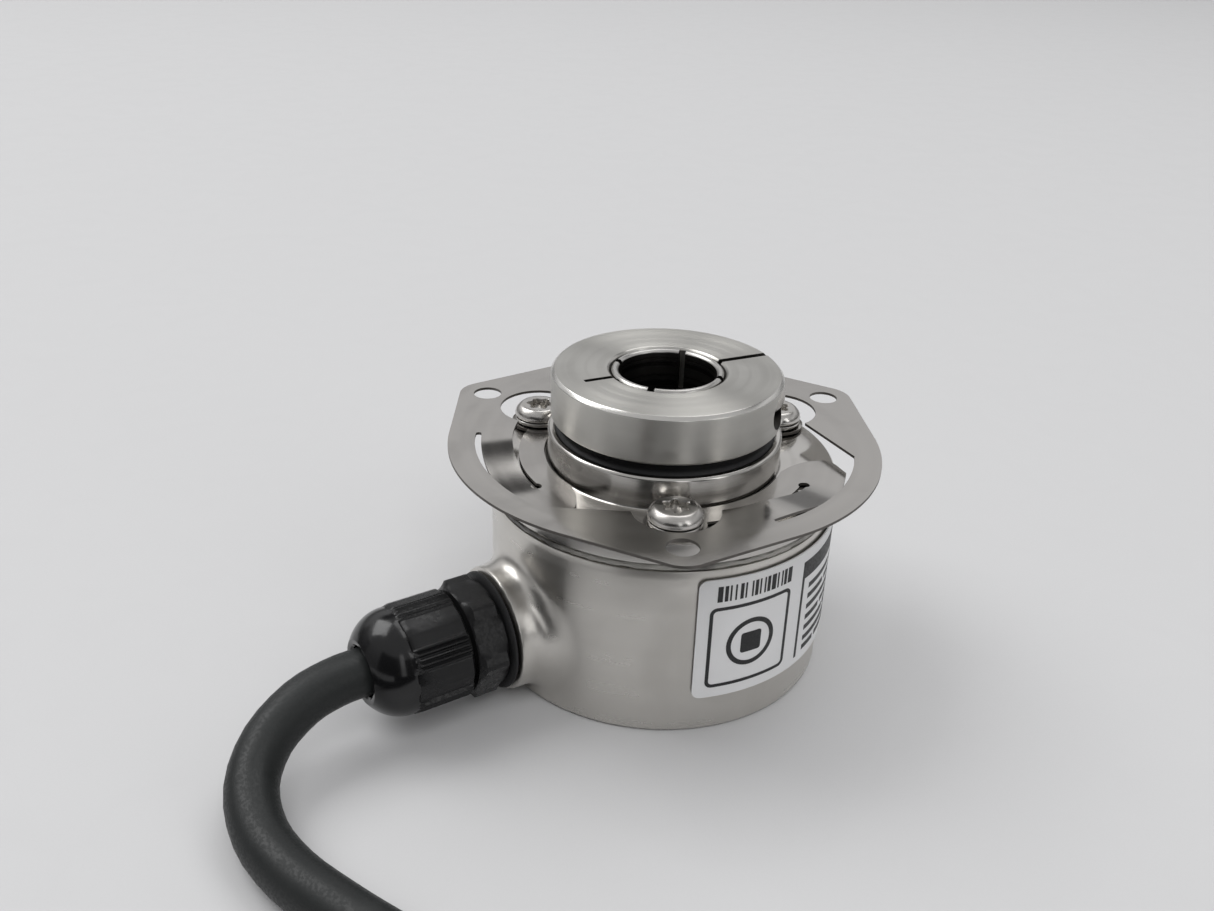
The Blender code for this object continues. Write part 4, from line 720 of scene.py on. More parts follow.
    def add_turned(self, solid: bmesh.types.BMesh, grid: dict) -> None:
        """Add the rim, the inside and the base to the wall's top and bottom rows."""
        inner = self.radius - self.wall
        over = [(self.radius - 0.0001, self.height - 0.0001), (self.radius - 0.0004, self.height),
                (inner + 0.0001, self.height), (inner, self.height - 0.0002),
                (inner, self.wall), (0.0, self.wall)]
        under = [(self.radius - self.corner * (1 - math.cos(a)), self.corner * (1 - math.sin(a)))
                 for a in (math.pi / 2 * k / 5 for k in range(1, 6))]
        under += [(self.radius * 0.6, 0.0), (0.0, 0.0)]
        for row, profile in ((self.rows, over), (0, under)):
            near = [grid[i, row] for i in range(self.columns)]
            for radius, z in profile:
                if radius == 0.0:
                    centre = solid.verts.new((0.0, 0.0, z))
                    for k in range(self.columns):
                        solid.faces.new((near[k], near[(k + 1) % self.columns], centre))
                    break
                far = [solid.verts.new((*polar(radius, GLAND_ANGLE + math.tau * i / self.columns), z))
                       for i in range(self.columns)]
                join_rows(solid, [near, far])
                near = far

    def flange(self) -> bpy.types.Mesh:
        """Build the front flange with its hub, bearing seat and spigot."""
        corners = [
            (0.0161, 0.0355, 0.0), (0.0166, 0.0355, 0.00008), (0.0169, 0.0352, 0.00012),
            (0.0169, 0.0309, 0.0002), (0.0171, 0.0307, 0.0002), (0.0247, 0.0307, 0.00015),
            (0.0250, 0.0304, 0.00015),
            (0.0250, 0.0274, 0.0001), (0.0249, 0.0273, 0.00005), (0.0232, 0.0273, 0.0),
            (0.0232, 0.0234, 0.0), (0.0156, 0.0234, 0.0), (0.0156, 0.0186, 0.0), (0.0130, 0.0186, 0.0),
            (0.0130, 0.0336, 0.0), (0.01185, 0.0336, 0.0), (0.01185, 0.0342, 0.0), (0.0161, 0.0342, 0.0),
            (0.0161, 0.03548, 0.0),
        ]
        return to_mesh("flange", ringed(turned_rings(corners, 4), 256, closed=True))

    def bead(self) -> bpy.types.Mesh:
        """Build the uneven bead of sealant in the seam."""
        def wobble(angle: float, k: float) -> float:
            spot = Vector((math.cos(angle) * 14.0, math.sin(angle) * 14.0, k * 3.0))
            return noise.noise(spot) + 0.5 * noise.noise(spot * 3.7)

        def ring(out: float, up: float) -> Ring:
            return lambda angle: (0.0242 + out * 0.00080 + 0.00022 * out * wobble(angle, up),
                                  0.0268 + up * (0.00042 + 0.00018 * wobble(angle, 5.0 + up)))

        shape = [ring(0.0, 1.0), ring(0.6, 1.0), ring(0.9, 0.7), ring(1.0, 0.0), ring(0.9, -0.7),
                 ring(0.6, -1.0), ring(0.0, -1.0)]
        return to_mesh("seam_bead", ringed(shape, 512, closed=True), 60.0)

    def seal(self) -> bpy.types.Mesh:
        """Build the shaft seal with its outer land, groove and inner lip."""
        corners = [
            (0.0104, 0.0345, 0.0), (0.0158, 0.0345, 0.0), (0.0159, 0.0355, 0.0001), (0.0155, 0.0359, 0.0002),
            (0.0150, 0.0361, 0.0002), (0.0146, 0.0365, 0.0002), (0.0138, 0.0368, 0.0002),
            (0.0122, 0.0368, 0.0002), (0.0114, 0.0364, 0.0002), (0.0106, 0.0367, 0.0001),
            (0.0102, 0.0366, 0.0001), (0.0102, 0.0350, 0.0),
        ]
        return to_mesh("shaft_seal", ringed(turned_rings(corners), 192, closed=True))

    def build(self, finishes: dict[str, bpy.types.Material]) -> None:
        """Build and place every visible piece of the housing."""
        pieces = (("cup", self.cup(), "housing_cup", "cup_steel"),
                  ("flange", self.flange(), "front_flange", "flange_steel"),
                  ("seam_bead", self.bead(), "seam_sealant", "sealant"),
                  ("seal", self.seal(), "shaft_seal", "black_rubber"))
        for name, mesh, node, slot in pieces:
            new_piece(name, mesh, [finishes[slot]], "housing", (node,), slot)


# ---------------------------------------------------------------- rotor

@dataclass(frozen=True)
class Rotor:
    """Hollow shaft with its slotted end, the split clamp ring and its screw."""

    top: float = 0.0443
    collar_top: float = 0.0369
    bore: float = 0.0070
    radius: float = 0.0080
    clamp_radius: float = 0.0165
    clamp_bottom: float = 0.0372
    chamfer: float = 0.0005
    slot_width: float = 0.0010
    slot_depth: float = 0.0062
    slot_angle: float = math.radians(74.0)
    split_angle: float = math.radians(28.0)
    split_width: float = 0.0010
    relief_width: float = 0.0008
    relief_end: float = 0.0128
    screw_offset: float = 0.0126
    screw_seat: float = 0.0045
    head_radius: float = 0.0026
    head_height: float = 0.0028
    socket_flat: float = 0.00112

    def shaft(self) -> bpy.types.Mesh:
        """Build the shaft, bored from the front and cut into four fingers."""
        corners = [
            (0.0, 0.0196, 0.0), (self.bore, 0.0196, 0.0), (self.bore, 0.0380, 0.0),
            (self.bore, 0.0440, 0.0001),
            (0.0073, self.top, 0.0001), (0.0077, self.top, 0.0001), (self.radius, 0.0440, 0.0001),
            (self.radius, self.collar_top + 0.0002, 0.0001), (0.0082, self.collar_top, 0.0001),
            (0.0097, self.collar_top, 0.0001), (0.0099, 0.0367, 0.0001), (0.0099, 0.0336, 0.0),
            (0.0085, 0.0336, 0.0), (0.0085, 0.0173, 0.0), (0.0050, 0.0173, 0.0), (0.0050, 0.0149, 0.0),
            (0.0, 0.0149, 0.0),
        ]
        mesh = to_mesh("shaft", ringed(turned_rings(corners, 3), 192))
        low = self.top - self.slot_depth
        reach, half = 2 * self.radius, self.slot_width / 2
        slots = [box((-reach, -half, low), (reach, half, 0.05), about_z(self.slot_angle + k * math.pi / 2))
                 for k in range(2)]
        made = cut(mesh, slots)
        # Faces inside the bore take near-black steel: painted shade in the bore.
        paint(made, 2, lambda radius, z: radius < self.bore + 0.00003 and z < self.top - 0.0004)
        return made

    def screw_place(self) -> Matrix:
        """Frame of the clamp screw: Z along it towards its head, origin in the split."""
        along = Vector((math.sin(self.split_angle), -math.cos(self.split_angle), 0.0))
        middle = (self.top + self.clamp_bottom) / 2
        return (Matrix.Translation((*polar(self.screw_offset, self.split_angle), middle))
                @ along.to_track_quat("Z", "Y").to_matrix().to_4x4())

    def clamp(self) -> bpy.types.Mesh:
        """Build the clamp ring with its split, relief slot and screw pocket."""
        out, low, top = self.clamp_radius, self.clamp_bottom, self.top
        corners = [
            (0.0083, 0.0378, 0.0), (0.0083, 0.0438, 0.0), (0.0083, 0.0440, 0.0001), (0.0086, top, 0.0001),
            (0.0095, top, 0.0), (0.0120, top, 0.0), (0.0145, top, 0.0), (out - self.chamfer, top, 0.00008),
            (out, top - self.chamfer, 0.00008), (out, 0.0432, 0.0), (out, 0.0408, 0.0), (out, 0.0384, 0.0),
            (out, low + 0.0004, 0.0001), (out - 0.0004, low, 0.0001), (0.0085, low, 0.00005),
            (0.0083, low + 0.0002, 0.0),
        ]
        mesh = to_mesh("clamp_ring", ringed(turned_rings(corners, 3), 256, closed=True))
        split = box((0.004, -self.split_width / 2, 0.03), (0.02, self.split_width / 2, 0.05),
                    about_z(self.split_angle))
        relief = box((0.004, -self.relief_width / 2, 0.03), (self.relief_end, self.relief_width / 2, 0.05),
                     about_z(self.split_angle + math.pi))
        frame_of = self.screw_place()
        hole = ringed([even(0.0, -0.0065), even(0.0018, -0.0065), even(0.0018, 0.0048), even(0.0, 0.0048)],
                      32, frame_of)
        pocket = ringed([even(0.0, self.screw_seat), even(self.head_radius + 0.0003, self.screw_seat),
                         even(self.head_radius + 0.0003, 0.0165), even(0.0, 0.0165)], 48, frame_of)
        made = cut(mesh, [split, relief, hole, pocket])
        # The top chamfer takes lighter, smoother steel: a painted highlight along the rim.
        paint(made, 2, lambda radius, z: radius > out - self.chamfer and z > top - self.chamfer)
        return made

    def screw(self) -> bpy.types.Mesh:
        """Build the clamp screw with its hexagon socket."""
        low = self.screw_seat + 0.0003
        top = low + self.head_height

        def socket(height: float) -> Ring:
            return lambda angle: (self.socket_flat / math.cos((angle + math.pi / 6) % (math.pi / 3)
                                                              - math.pi / 6), height)

        outer = turned_rings([(0.0, -0.0062, 0.0), (0.0013, -0.0062, 0.0), (0.0015, -0.0060, 0.0),
                              (0.0015, low, 0.0), (0.0025, low, 0.0),
                              (self.head_radius, low + 0.0001, 0.0001),
                              (self.head_radius, top, 0.0003), (0.0016, top, 0.0)], 4)
        rings = outer + [socket(top), socket(top - 0.00005), socket(top - 0.0014), even(0.0, top - 0.0016)]
        return to_mesh("clamp_screw", ringed(rings, 96, self.screw_place()))

    def build(self, finishes: dict[str, bpy.types.Material]) -> None:
        """Build and place the rotor's visible pieces."""
        pieces = (("shaft", self.shaft(), "hollow_shaft", ("shaft_steel", "slot_painted_shade", "bore_painted_shade")),
                  ("split_ring", self.clamp(), "clamp_ring", ("clamp_steel", "slot_painted_shade", "chamfer_painted_highlight")),
                  ("ring_screw", self.screw(), "clamp_screw", ("screw_steel",)))
        for name, mesh, node, slots in pieces:
            new_piece(name, mesh, [finishes[slot] for slot in slots], "rotor", (node,), slots[0])


# ---------------------------------------------------------------- coupling

@dataclass(frozen=True)
class Coupling:
    """Two-level spring sheet, and the screw and washer that hold each of its tabs."""

    first: float = math.radians(35.8)
    screw_circle: float = 0.0210
    mounting_circle: float = 0.0305
    mounting_hole: float = 0.00215
    outer: float = 0.0312
    corner: float = 0.0043
    tab: float = 0.0042
    tab_hole: float = 0.0021
    cut_out: float = 0.0060
    leaf: float = 0.0174
    inner_slot: float = 0.0215
    inner_end: float = math.radians(61.5)
    outer_slot: float = 0.0269
    outer_start: float = math.radians(28.5)
    half_slot: float = 0.00045
    keyhole: float = 0.0008
    window_start: float = math.radians(79.0)
    window_end: float = math.radians(104.0)
    window_radius: float = 0.0226
    window_corner: float = 0.0042
    leaf_corner: float = math.radians(76.0)
    bend: float = math.radians(48.0)
    bend_length: float = 0.0140
    lift: float = 0.0021
    thickness: float = 0.0004
    bottom: float = 0.0309

    def outline(self) -> list[Pair]:
        """Round outline drawn out to a rounded corner at each mounting hole."""
        lean = math.acos((self.outer - self.corner) / self.mounting_circle)
        points = []
        for i in range(3):
            angle = self.first + i * math.tau / 3
            hole = polar(self.mounting_circle, angle)
            points += arc(hole, self.corner, angle - lean, angle + lean, 25)[:-1]
            points += arc((0.0, 0.0), self.outer, angle + lean, angle + math.tau / 3 - lean, 49)[:-1]
        return points

    @staticmethod
    def crossing(radius: float, centre_radius: float, circle: float) -> float:
        """Angle from a circle's centre line at which an arc about the axis meets the circle."""
        return math.acos((radius ** 2 + centre_radius ** 2 - circle ** 2) / (2 * radius * centre_radius))

    def sector(self) -> list[Pair]:
        """Inner edge of the sheet through one screw's sector, the screw at angle 0."""
        inner_low, inner_high = self.inner_slot - self.half_slot, self.inner_slot + self.half_slot
        outer_low, outer_high = self.outer_slot - self.half_slot, self.outer_slot + self.half_slot
        screw, origin, ease = (self.screw_circle, 0.0), (0.0, 0.0), 0.03

        def seen(point: Pair) -> float:
            return math.atan2(point[1], point[0] - self.screw_circle)

        start = seen(polar(self.window_radius, self.window_end - math.tau / 3))
        reach = self.crossing(inner_high, self.screw_circle, self.cut_out)
        points = arc(screw, self.cut_out, start, seen(polar(inner_high, reach)), 28)
        points += arc(origin, inner_high, reach + 0.04, self.inner_end - ease, 20)
        points += arc(polar(self.inner_slot, self.inner_end), self.keyhole,
                      self.inner_end - math.radians(50.0), self.inner_end + math.radians(230.0), 21)
        reach = self.crossing(inner_low, self.screw_circle, self.tab)
        points += arc(origin, inner_low, self.inner_end - ease, reach, 20)
        start = seen(polar(inner_low, reach))
        reach = self.crossing(self.leaf, self.screw_circle, self.tab)
        points += arc(screw, self.tab, start, seen(polar(self.leaf, -reach)), 28)[1:]
        points += arc(origin, self.leaf, -reach, math.radians(69.0), 40)[1:]
        tip = [Vector((*polar(radius, math.radians(angle)), 0.0)) for radius, angle in
               ((self.leaf, 69.0), (0.0186, 76.0), (0.0202, 80.5), (0.0219, 82.8), (0.0242, 83.2),
                (outer_low, math.degrees(self.leaf_corner)))]
        points += [(point.x, point.y) for point in spline(tip, 5)[1:-1]]
        points += arc(origin, outer_low, self.leaf_corner, self.outer_start + ease, 26)
        points += arc(polar(self.outer_slot, self.outer_start), self.half_slot,
                      self.outer_start + math.radians(210.0), self.outer_start + math.radians(330.0), 9)
        points += arc(origin, outer_high, self.outer_start + ease, self.window_start, 26)
        return points

    def drop(self, x: float, y: float) -> float:
        """How far below the raised ring the sheet lies at a point."""
        radius = math.hypot(x, y)
        angle = (math.atan2(y, x) - self.first) % (math.tau / 3)
        here = Vector(polar(radius, angle))
        from_screw = min((here - Vector(polar(self.screw_circle, a))).length for a in (0.0, math.tau / 3))
        if from_screw < (self.tab + self.cut_out) / 2 or radius < self.inner_slot:
            return self.lift
        if radius > self.outer_slot - self.half_slot / 2 or angle < self.outer_start:
            return 0.0
        line = Vector(polar(self.inner_slot, self.window_start))
        if angle > self.window_start and (here - line).length > self.window_corner:
            return 0.0
        across = Vector((-math.sin(self.bend), math.cos(self.bend)))
        middle = Vector(polar((self.inner_slot + self.outer_slot) / 2, self.bend))
        share = min(max((here - middle).dot(across) / self.bend_length + 0.5, 0.0), 1.0)
        return self.lift * share * share * (3 - 2 * share)

    def sheet(self) -> bpy.types.Mesh:
        """Build the spring sheet."""
        inner: list[Pair] = []
        loops = [self.outline(), inner]
        for i in range(3):
            angle = self.first + i * math.tau / 3
            c, s = math.cos(angle), math.sin(angle)
            inner += [(c * x - s * y, s * x + c * y) for x, y in self.sector()]
            for centre, hole in ((self.mounting_circle, self.mounting_hole),
                                 (self.screw_circle, self.tab_hole)):
                loops.append(arc(polar(centre, angle), hole, 0.0, math.tau, 41)[:-1])

        def place(x: float, y: float, side: float) -> Triple:
            return (x, y, self.bottom + self.lift - self.drop(x, y) + side * self.thickness)

        return to_mesh("spring_sheet", plate(loops, 0.0011, place), 35.0)

    def screw(self, angle: float) -> bpy.types.Mesh:
        """Build one button-head screw with a six-lobed recess."""
        low, top = 0.0322, 0.0339

        def lobes(size: float, height: float) -> Ring:
            return lambda a: (size * (1.0 + 0.15 * math.cos(6 * a)), height)

        outer = turned_rings([(0.0, 0.0267, 0.0), (0.0014, 0.0267, 0.0), (0.0018, 0.0270, 0.0),
                              (0.0018, low, 0.0), (0.0036, low, 0.0), (0.00375, low + 0.0002, 0.0001),
                              (0.00375, low + 0.00065, 0.0004), (0.0033, top - 0.00035, 0.0005),
                              (0.0028, top, 0.0003), (0.0024, top, 0.0)], 4)
        rings = outer + [lobes(0.00182, top), lobes(0.00174, top - 0.0001), lobes(0.00170, top - 0.0010),
                         even(0.0008, top - 0.0011), even(0.0, top - 0.0012)]
        place = Matrix.Translation((*polar(self.screw_circle, angle), 0.0)) @ about_z(angle * 2.3)
        return to_mesh("screw", ringed(rings, 120, place))

    def washer(self, angle: float) -> bpy.types.Mesh:
        """Build one plain washer."""
        corners = [(0.0021, 0.0316, 0.0), (0.0021, 0.0320, 0.0), (0.0037, 0.0320, 0.0001),
                   (0.0037, 0.0315, 0.0001), (0.0021, 0.0315, 0.0)]
        place = Matrix.Translation((*polar(self.screw_circle, angle), 0.0))
        return to_mesh("washer", ringed(turned_rings(corners), 96, place, closed=True))

    def build(self, finishes: dict[str, bpy.types.Material]) -> None:
        """Build and place the sheet, the screws and the washers."""
        # The sheet's side faces take dark steel: painted shade on the cut edges.
        new_piece("spring_coupling", self.sheet(), [finishes["spring_sheet"], finishes["cut_edge_painted_shade"]],
                  "housing", ("stator_coupling",), "spring_sheet")
        for i in range(3):
            angle = self.first + i * math.tau / 3
            for kind, mesh in (("screw", self.screw(angle)), ("washer", self.washer(angle))):
                new_piece(f"tab_{kind}_{i + 1}", mesh, [finishes["screw_steel"]], "housing",
                          (f"coupling_{kind}_{i + 1}",), "screw_steel")


# ---------------------------------------------------------------- label

@dataclass(frozen=True)
class Label:
    """Printed film on the cup, with bars and plain shapes in place of any words or marks."""

    radius: float = 0.0253
    thickness: float = 0.0002
    start: float = math.radians(-77.0)
    low: float = 0.0060
    length: float = 0.0600
    height: float = 0.0190

    def place(self, u: float, v: float, out: float) -> Triple:
        """Point on the label: along it, up it and out from its back."""
        return (*polar(self.radius + out, self.start + u / self.radius), self.low + v)

    def film(self) -> bpy.types.Mesh:
        """Build the film with rounded corners."""
        loops = [rounded_box((0.0, 0.0), (self.length, self.height), 0.0012)]
        return to_mesh("label_film", plate(loops, 0.0014,
                                           lambda u, v, side: self.place(u, v, side * self.thickness)))

    def marks(self) -> list[list[list[Pair]]]:
        """Outlines of every printed mark, each with its holes."""
        marks = []

        def bar(u: float, v: float, width: float, height: float) -> None:
            marks.append([[(u, v), (u + width, v), (u + width, v + height), (u, v + height)]])

        widths = (3, 1, 2, 1, 1, 2, 1, 2, 2, 1, 1, 3, 1, 1, 2, 1, 1, 2, 1, 1, 2, 1, 3, 1, 1, 2, 1, 1, 2, 1, 3)
        u = 0.0026
        for i, width in enumerate(widths):
            if i % 2 == 0:
                bar(u, 0.0155, width * 0.00024, 0.0024)
            u += width * 0.00025
        low, high = (0.0017, 0.0016), (0.0147, 0.0146)
        marks.append([rounded_box(low, high, 0.0010),
                      rounded_box((low[0] + 0.0005, low[1] + 0.0005), (high[0] - 0.0005, high[1] - 0.0005),
                                  0.0006)])
        marks.append([arc((0.0082, 0.0081), 0.0038, 0.0, math.tau, 49)[:-1],
                      arc((0.0082, 0.0081), 0.0031, 0.0, math.tau, 49)[:-1]])
        marks.append([rounded_box((0.0066, 0.0065), (0.0098, 0.0097), 0.0004)])
        bar(0.0174, 0.0012, 0.0005, 0.0160)
        bar(0.0179, 0.0144, 0.0396, 0.0028)
        rows = ((0.0122, (9, 4, 12)), (0.0104, (6, 14, 5)), (0.0086, (11, 3, 8)), (0.0068, (5, 7, 13)),
                (0.0050, (8, 12, 3)), (0.0032, (13, 5)), (0.0016, (4, 9, 6)))
        for v, lengths in rows:
            u = 0.0194
            for length in lengths:
                bar(u, v, length * 0.0009, 0.0008)
                u += length * 0.0009 + 0.0009
        return marks

    def print(self) -> bpy.types.Mesh:
        """Build the print, a hair proud of the film."""
        solid = bmesh.new()
        for mark in self.marks():
            add_plate(solid, mark, 0.0012,
                      lambda u, v, side: self.place(u, v, self.thickness - 0.00003 + side * 0.00007))
        return to_mesh("label_print", solid)

    def build(self, finishes: dict[str, bpy.types.Material]) -> None:
        """Build and place the film and its print."""
        new_piece("label", self.film(), [finishes["label_film"]] * 2, "housing", ("rating_label",),
                  "label_film")
        new_piece("label_print", self.print(), [finishes["ink"]], "housing", (), "label_film")


# ---------------------------------------------------------------- gland

@dataclass(frozen=True)
class Gland:
    """Cable gland: gasket, hexagon body, ribbed dome nut and sealing insert."""

    hexagon: float = 0.0086
    hex_start: float = 0.0299
    hex_end: float = 0.0345
    nut_start: float = 0.0351
    sides_end: float = 0.0433
    dome_end: float = 0.0485
    nut_radius: float = 0.0080
    lip: float = 0.0046
    exit: float = 0.0036
    squeeze: float = 0.0001

    @staticmethod
    def frame() -> Matrix:
        """Frame of the gland: Z outwards along its axis, X down."""
        return (Matrix.Translation((0.0, 0.0, GLAND_HEIGHT)) @ about_z(GLAND_ANGLE)
                @ Matrix.Rotation(math.pi / 2, 4, "Y"))

    @staticmethod
    def sided(across: float, sides: int, angle: float, ease: float = 0.985) -> float:
        """Radius of a polygon with eased corners at an angle; across is its corner radius."""
        step = math.tau / sides
        flat = across * math.cos(step / 2)
        return min(flat / math.cos((angle + step / 2) % step - step / 2), across * ease)

    def body(self) -> bpy.types.Mesh:
        """Build the hexagon body with chamfered corners and its neck."""
        def hexed(height: float, limit: float) -> Ring:
            return lambda a: (min(self.sided(self.hexagon, 6, a), limit), height)

        flat = self.hexagon * math.cos(math.pi / 6)
        start, end = self.hex_start, self.hex_end
        rings = [even(0.0, 0.0245), even(0.0053, 0.0245), even(0.0053, start), even(flat * 0.97, start),
                 hexed(start + 0.0001, flat * 1.01), hexed(start + 0.0006, self.hexagon),
                 hexed((start + end) / 2, self.hexagon), hexed(end - 0.0007, self.hexagon),
                 hexed(end - 0.0002, flat * 1.02), even(flat * 0.985, end), even(0.0066, end),
                 even(0.0062, end + 0.0002),
                 even(0.0062, 0.0412), even(0.0, 0.0412)]
        return to_mesh("gland_hexagon", ringed(rings, 240, self.frame()))

    def ribbed(self, height: float, share: float = 1.0, inset: float = 0.0) -> Ring:
        """Ring of the nut's grip: six plain faces with a band of fine grooves between them.

        Args:
            height: Reach of the ring.
            share: How deep the grooves are, from 0 to 1.
            inset: How far the ring is drawn in.

        Returns:
            The ring.
        """
        def shape(angle: float) -> Pair:
            step = math.tau / 6
            away = abs((angle + step / 2) % step - step / 2)
            band = math.radians(13.5)
            plain = self.sided(self.nut_radius * 0.985, 12, angle + math.pi / 12)
            if away < band:
                grooves = 0.5 + 0.5 * math.cos(away * math.tau / math.radians(5.4))
                fade = min((band - away) / math.radians(2.0), 1.0)
                return (plain + fade * (0.00016 - 0.00040 * (1.0 - grooves) * share) - inset, height)
            return (plain - inset, height)
        return shape

    def nut(self) -> bpy.types.Mesh:
        """Build the dome nut."""
        start, end = self.nut_start, self.sides_end
        inner = [even(0.0065, start + 0.0002), even(0.0067, start)]
        grip = [even(0.0072, start), self.ribbed(start + 0.0001, 0.3, 0.0003),
                self.ribbed(start + 0.0004, 1.0)]
        grip += [self.ribbed(start + 0.0004 + (end - start - 0.0012) * k / 6, 1.0) for k in range(1, 7)]
        grip += [self.ribbed(end - 0.0004, 0.6, 0.0001), self.ribbed(end - 0.0001, 0.0, 0.0003)]
        dome = []
        low, foot = 0.00755, end + 0.0002
        top = math.acos(self.lip / low)
        for k in range(15):
            swept = top * k / 14
            share = math.sin(swept) / math.sin(top)
            dome.append(even(low * math.cos(swept), foot + (self.dome_end - foot) * share))
        lip = [even(self.lip - 0.0002, self.dome_end + 0.00002),
               even(self.exit + 0.0003, self.dome_end - 0.0001),
               even(self.exit + 0.00005, self.dome_end - 0.0004), even(self.exit, 0.0455),
               even(0.0065, 0.0436)]
        rings = inner + grip + dome + lip
        made = to_mesh("dome_nut", ringed(rings, 360, self.frame(), closed=True), 28.0)
        paint(made, 1, lambda radius, z: z > end, self.frame())
        return made

    def gasket(self) -> bpy.types.Mesh:
        """Build the flat gasket, squeezed out a little unevenly."""
        def edge(out: float, height: float) -> Ring:
            return lambda a: (out + self.squeeze * noise.noise(Vector((math.cos(a), math.sin(a), 2.0)) * 4.0),
                              height)

        rings = [even(0.0059, 0.0291), even(0.0059, 0.0295), edge(0.0083, 0.0296), edge(0.00855, 0.0294),
                 edge(0.00855, 0.0292), edge(0.0083, 0.0290)]
        return to_mesh("gasket", ringed(rings, 128, self.frame(), closed=True), 50.0)

    def insert(self) -> bpy.types.Mesh:
        """Build the sealing insert round the sheath."""
        corners = [(0.00365, 0.0360, 0.0), (0.0050, 0.0360, 0.0), (0.0050, 0.0418, 0.0004),
                   (0.00365, 0.0418, 0.0002),
                   (0.00365, 0.0362, 0.0)]
        return to_mesh("gland_insert", ringed(turned_rings(corners), 64, self.frame(), closed=True))

    def build(self, finishes: dict[str, bpy.types.Material]) -> None:
        """Build and place the gland's pieces."""
        pieces = (("gland_hexagon", self.body(), "gland_body", ("gland_plastic",)),
                  ("dome_nut", self.nut(), "gland_dome_nut", ("gland_plastic", "gloss_plastic")),
                  ("gasket", self.gasket(), "gland_gasket", ("black_rubber",)),
                  ("gland_insert", self.insert(), "gland_seal", ("black_rubber",)))
        for name, mesh, node, slots in pieces:
            new_piece(name, mesh, [finishes[slot] for slot in slots], "housing", (node,), slots[0])


# ---------------------------------------------------------------- cable

@dataclass(frozen=True)
class Cable:
    """Round sheathed cable: the free run from the gland and the stored coil."""

    radius: float = 0.00335
    length: float = 0.92
    route: tuple[Triple, ...] = (
        (-0.0389, -0.0295, 0.0103), (-0.0417, -0.0318, 0.0102), (-0.0450, -0.0354, 0.0095),
        (-0.0477, -0.0410, 0.0078), (-0.0479, -0.0471, 0.0057), (-0.0449, -0.0532, 0.0042),
        (-0.0397, -0.0583, 0.0036), (-0.0330, -0.0627, 0.0035), (-0.0265, -0.0664, 0.0035),
        (-0.0197, -0.0698, 0.0035), (-0.0130, -0.0727, 0.0035),
    )
    exit: Triple = (-0.0376, -0.0286, 0.0103)
    centre: Pair = (0.0020, -0.1170)
    inner: float = 0.03265
    outer: float = 0.03935
    low: float = 0.00345
    high: float = 0.01015
    join: float = 80.0
    # Degrees wound at which the turn moves inwards, climbs and moves outwards, then ends.
    inwards: Pair = (305.0, 350.0)
    climbs: Pair = (605.0, 665.0)
    outwards: Pair = (915.0, 970.0)
    ends: float = 1280.0
    step: float = 7.5
    lead_radius: float = 0.00050
    lead_pitch: float = 0.0013
    # Azimuth in degrees, distance from the coil's middle and height of the leads' middle line.
    lead_line: tuple[Triple, ...] = (
        (243.0, 0.03935, 0.01015), (240.0, 0.03935, 0.01015), (237.0, 0.0393, 0.0107),
        (234.0, 0.0390, 0.0121), (230.0, 0.0382, 0.0138), (225.0, 0.0371, 0.01445),
        (218.0, 0.0362, 0.0144), (208.0, 0.0360, 0.01435),
        (198.0, 0.0360, 0.0143), (188.0, 0.0360, 0.0143), (180.0, 0.0360, 0.0143),
    )
    band_places: Pair = (60.0, 300.0)
    band_half: float = 0.0045
    band_thickness: float = 0.0001

    @staticmethod
    def eased(value: float, span: Pair) -> float:
        """Smooth step from 0 to 1 over a span."""
        share = min(max((value - span[0]) / (span[1] - span[0]), 0.0), 1.0)
        return share * share * (3.0 - 2.0 * share)

    def wound(self, degrees: float) -> Vector:
        """Point on the coil after so many degrees of winding."""
        inward = self.eased(degrees, self.inwards) - self.eased(degrees, self.outwards)
        radius = self.outer + (self.inner - self.outer) * inward
        height = self.low + (self.high - self.low) * self.eased(degrees, self.climbs)
        return self.on_coil(math.radians(self.join - degrees), radius, height)

    def line(self) -> list[Vector]:
        """Centre line of the whole cable, from the gland to its end."""
        knots = [Vector(point) for point in self.route]
        count = int(self.ends / self.step)
        coil = [self.wound(self.ends * i / count) for i in range(count + 1)]
        away = (knots[-1] - knots[-2]).normalized()
        along = (coil[1] - coil[0]).normalized()
        reach = (coil[0] - knots[-1]).length
        bridge = [hermite(knots[-1], coil[0], away * reach, along * reach, i / 4) for i in range(1, 4)]
        return spline([Vector(self.exit)] + knots + bridge + coil, 3)

    def on_coil(self, angle: float, radius: float, height: float) -> Vector:
        """Point about the coil's middle, from its azimuth in radians."""
        x, y = polar(radius, angle)
        return Vector((self.centre[0] + x, self.centre[1] + y, height))

    def leads(self) -> bpy.types.Mesh:
        """Build the stripped leads, fanned out on top of the coil, each with a ferrule."""
        solid = bmesh.new()
        count = len(LEAD_COLOURS)
        middle = spline([Vector(knot) for knot in self.lead_line], 5)
        for i in range(count):
            turn = math.tau * i / count
            side = (i - (count - 1) / 2) * self.lead_pitch
            line = []
            for azimuth, radius, height in middle:
                fan = self.eased(-azimuth, (-237.0, -220.0))
                sway = 0.0003 * fan * math.sin(math.radians(azimuth * 9.0) + 1.7 * i)
                line.append(self.on_coil(math.radians(azimuth), radius + 0.0018 * math.cos(turn) * (1 - fan)
                                         + side * fan + sway, height + 0.0018 * math.sin(turn) * (1 - fan)))
            line = line[:len(line) - (i * 3) % 4]
            add_tube(solid, line, [self.lead_radius] * len(line), 12, i)
            ahead = (line[-1] - line[-2]).normalized()
            for index, start, end, wide, thin in ((i, -0.0005, 0.0030, 0.00062, 0.00056),
                                                  (count, 0.0025, 0.0080, 0.00036, 0.00033)):
                ends = [line[-1] + ahead * (start + (end - start) * k / 3) for k in range(4)]
                add_tube(solid, ends, [wide, wide, wide, thin], 12, index)
        bmesh.ops.recalc_face_normals(solid, faces=solid.faces)
        return to_mesh("cable_leads", solid)

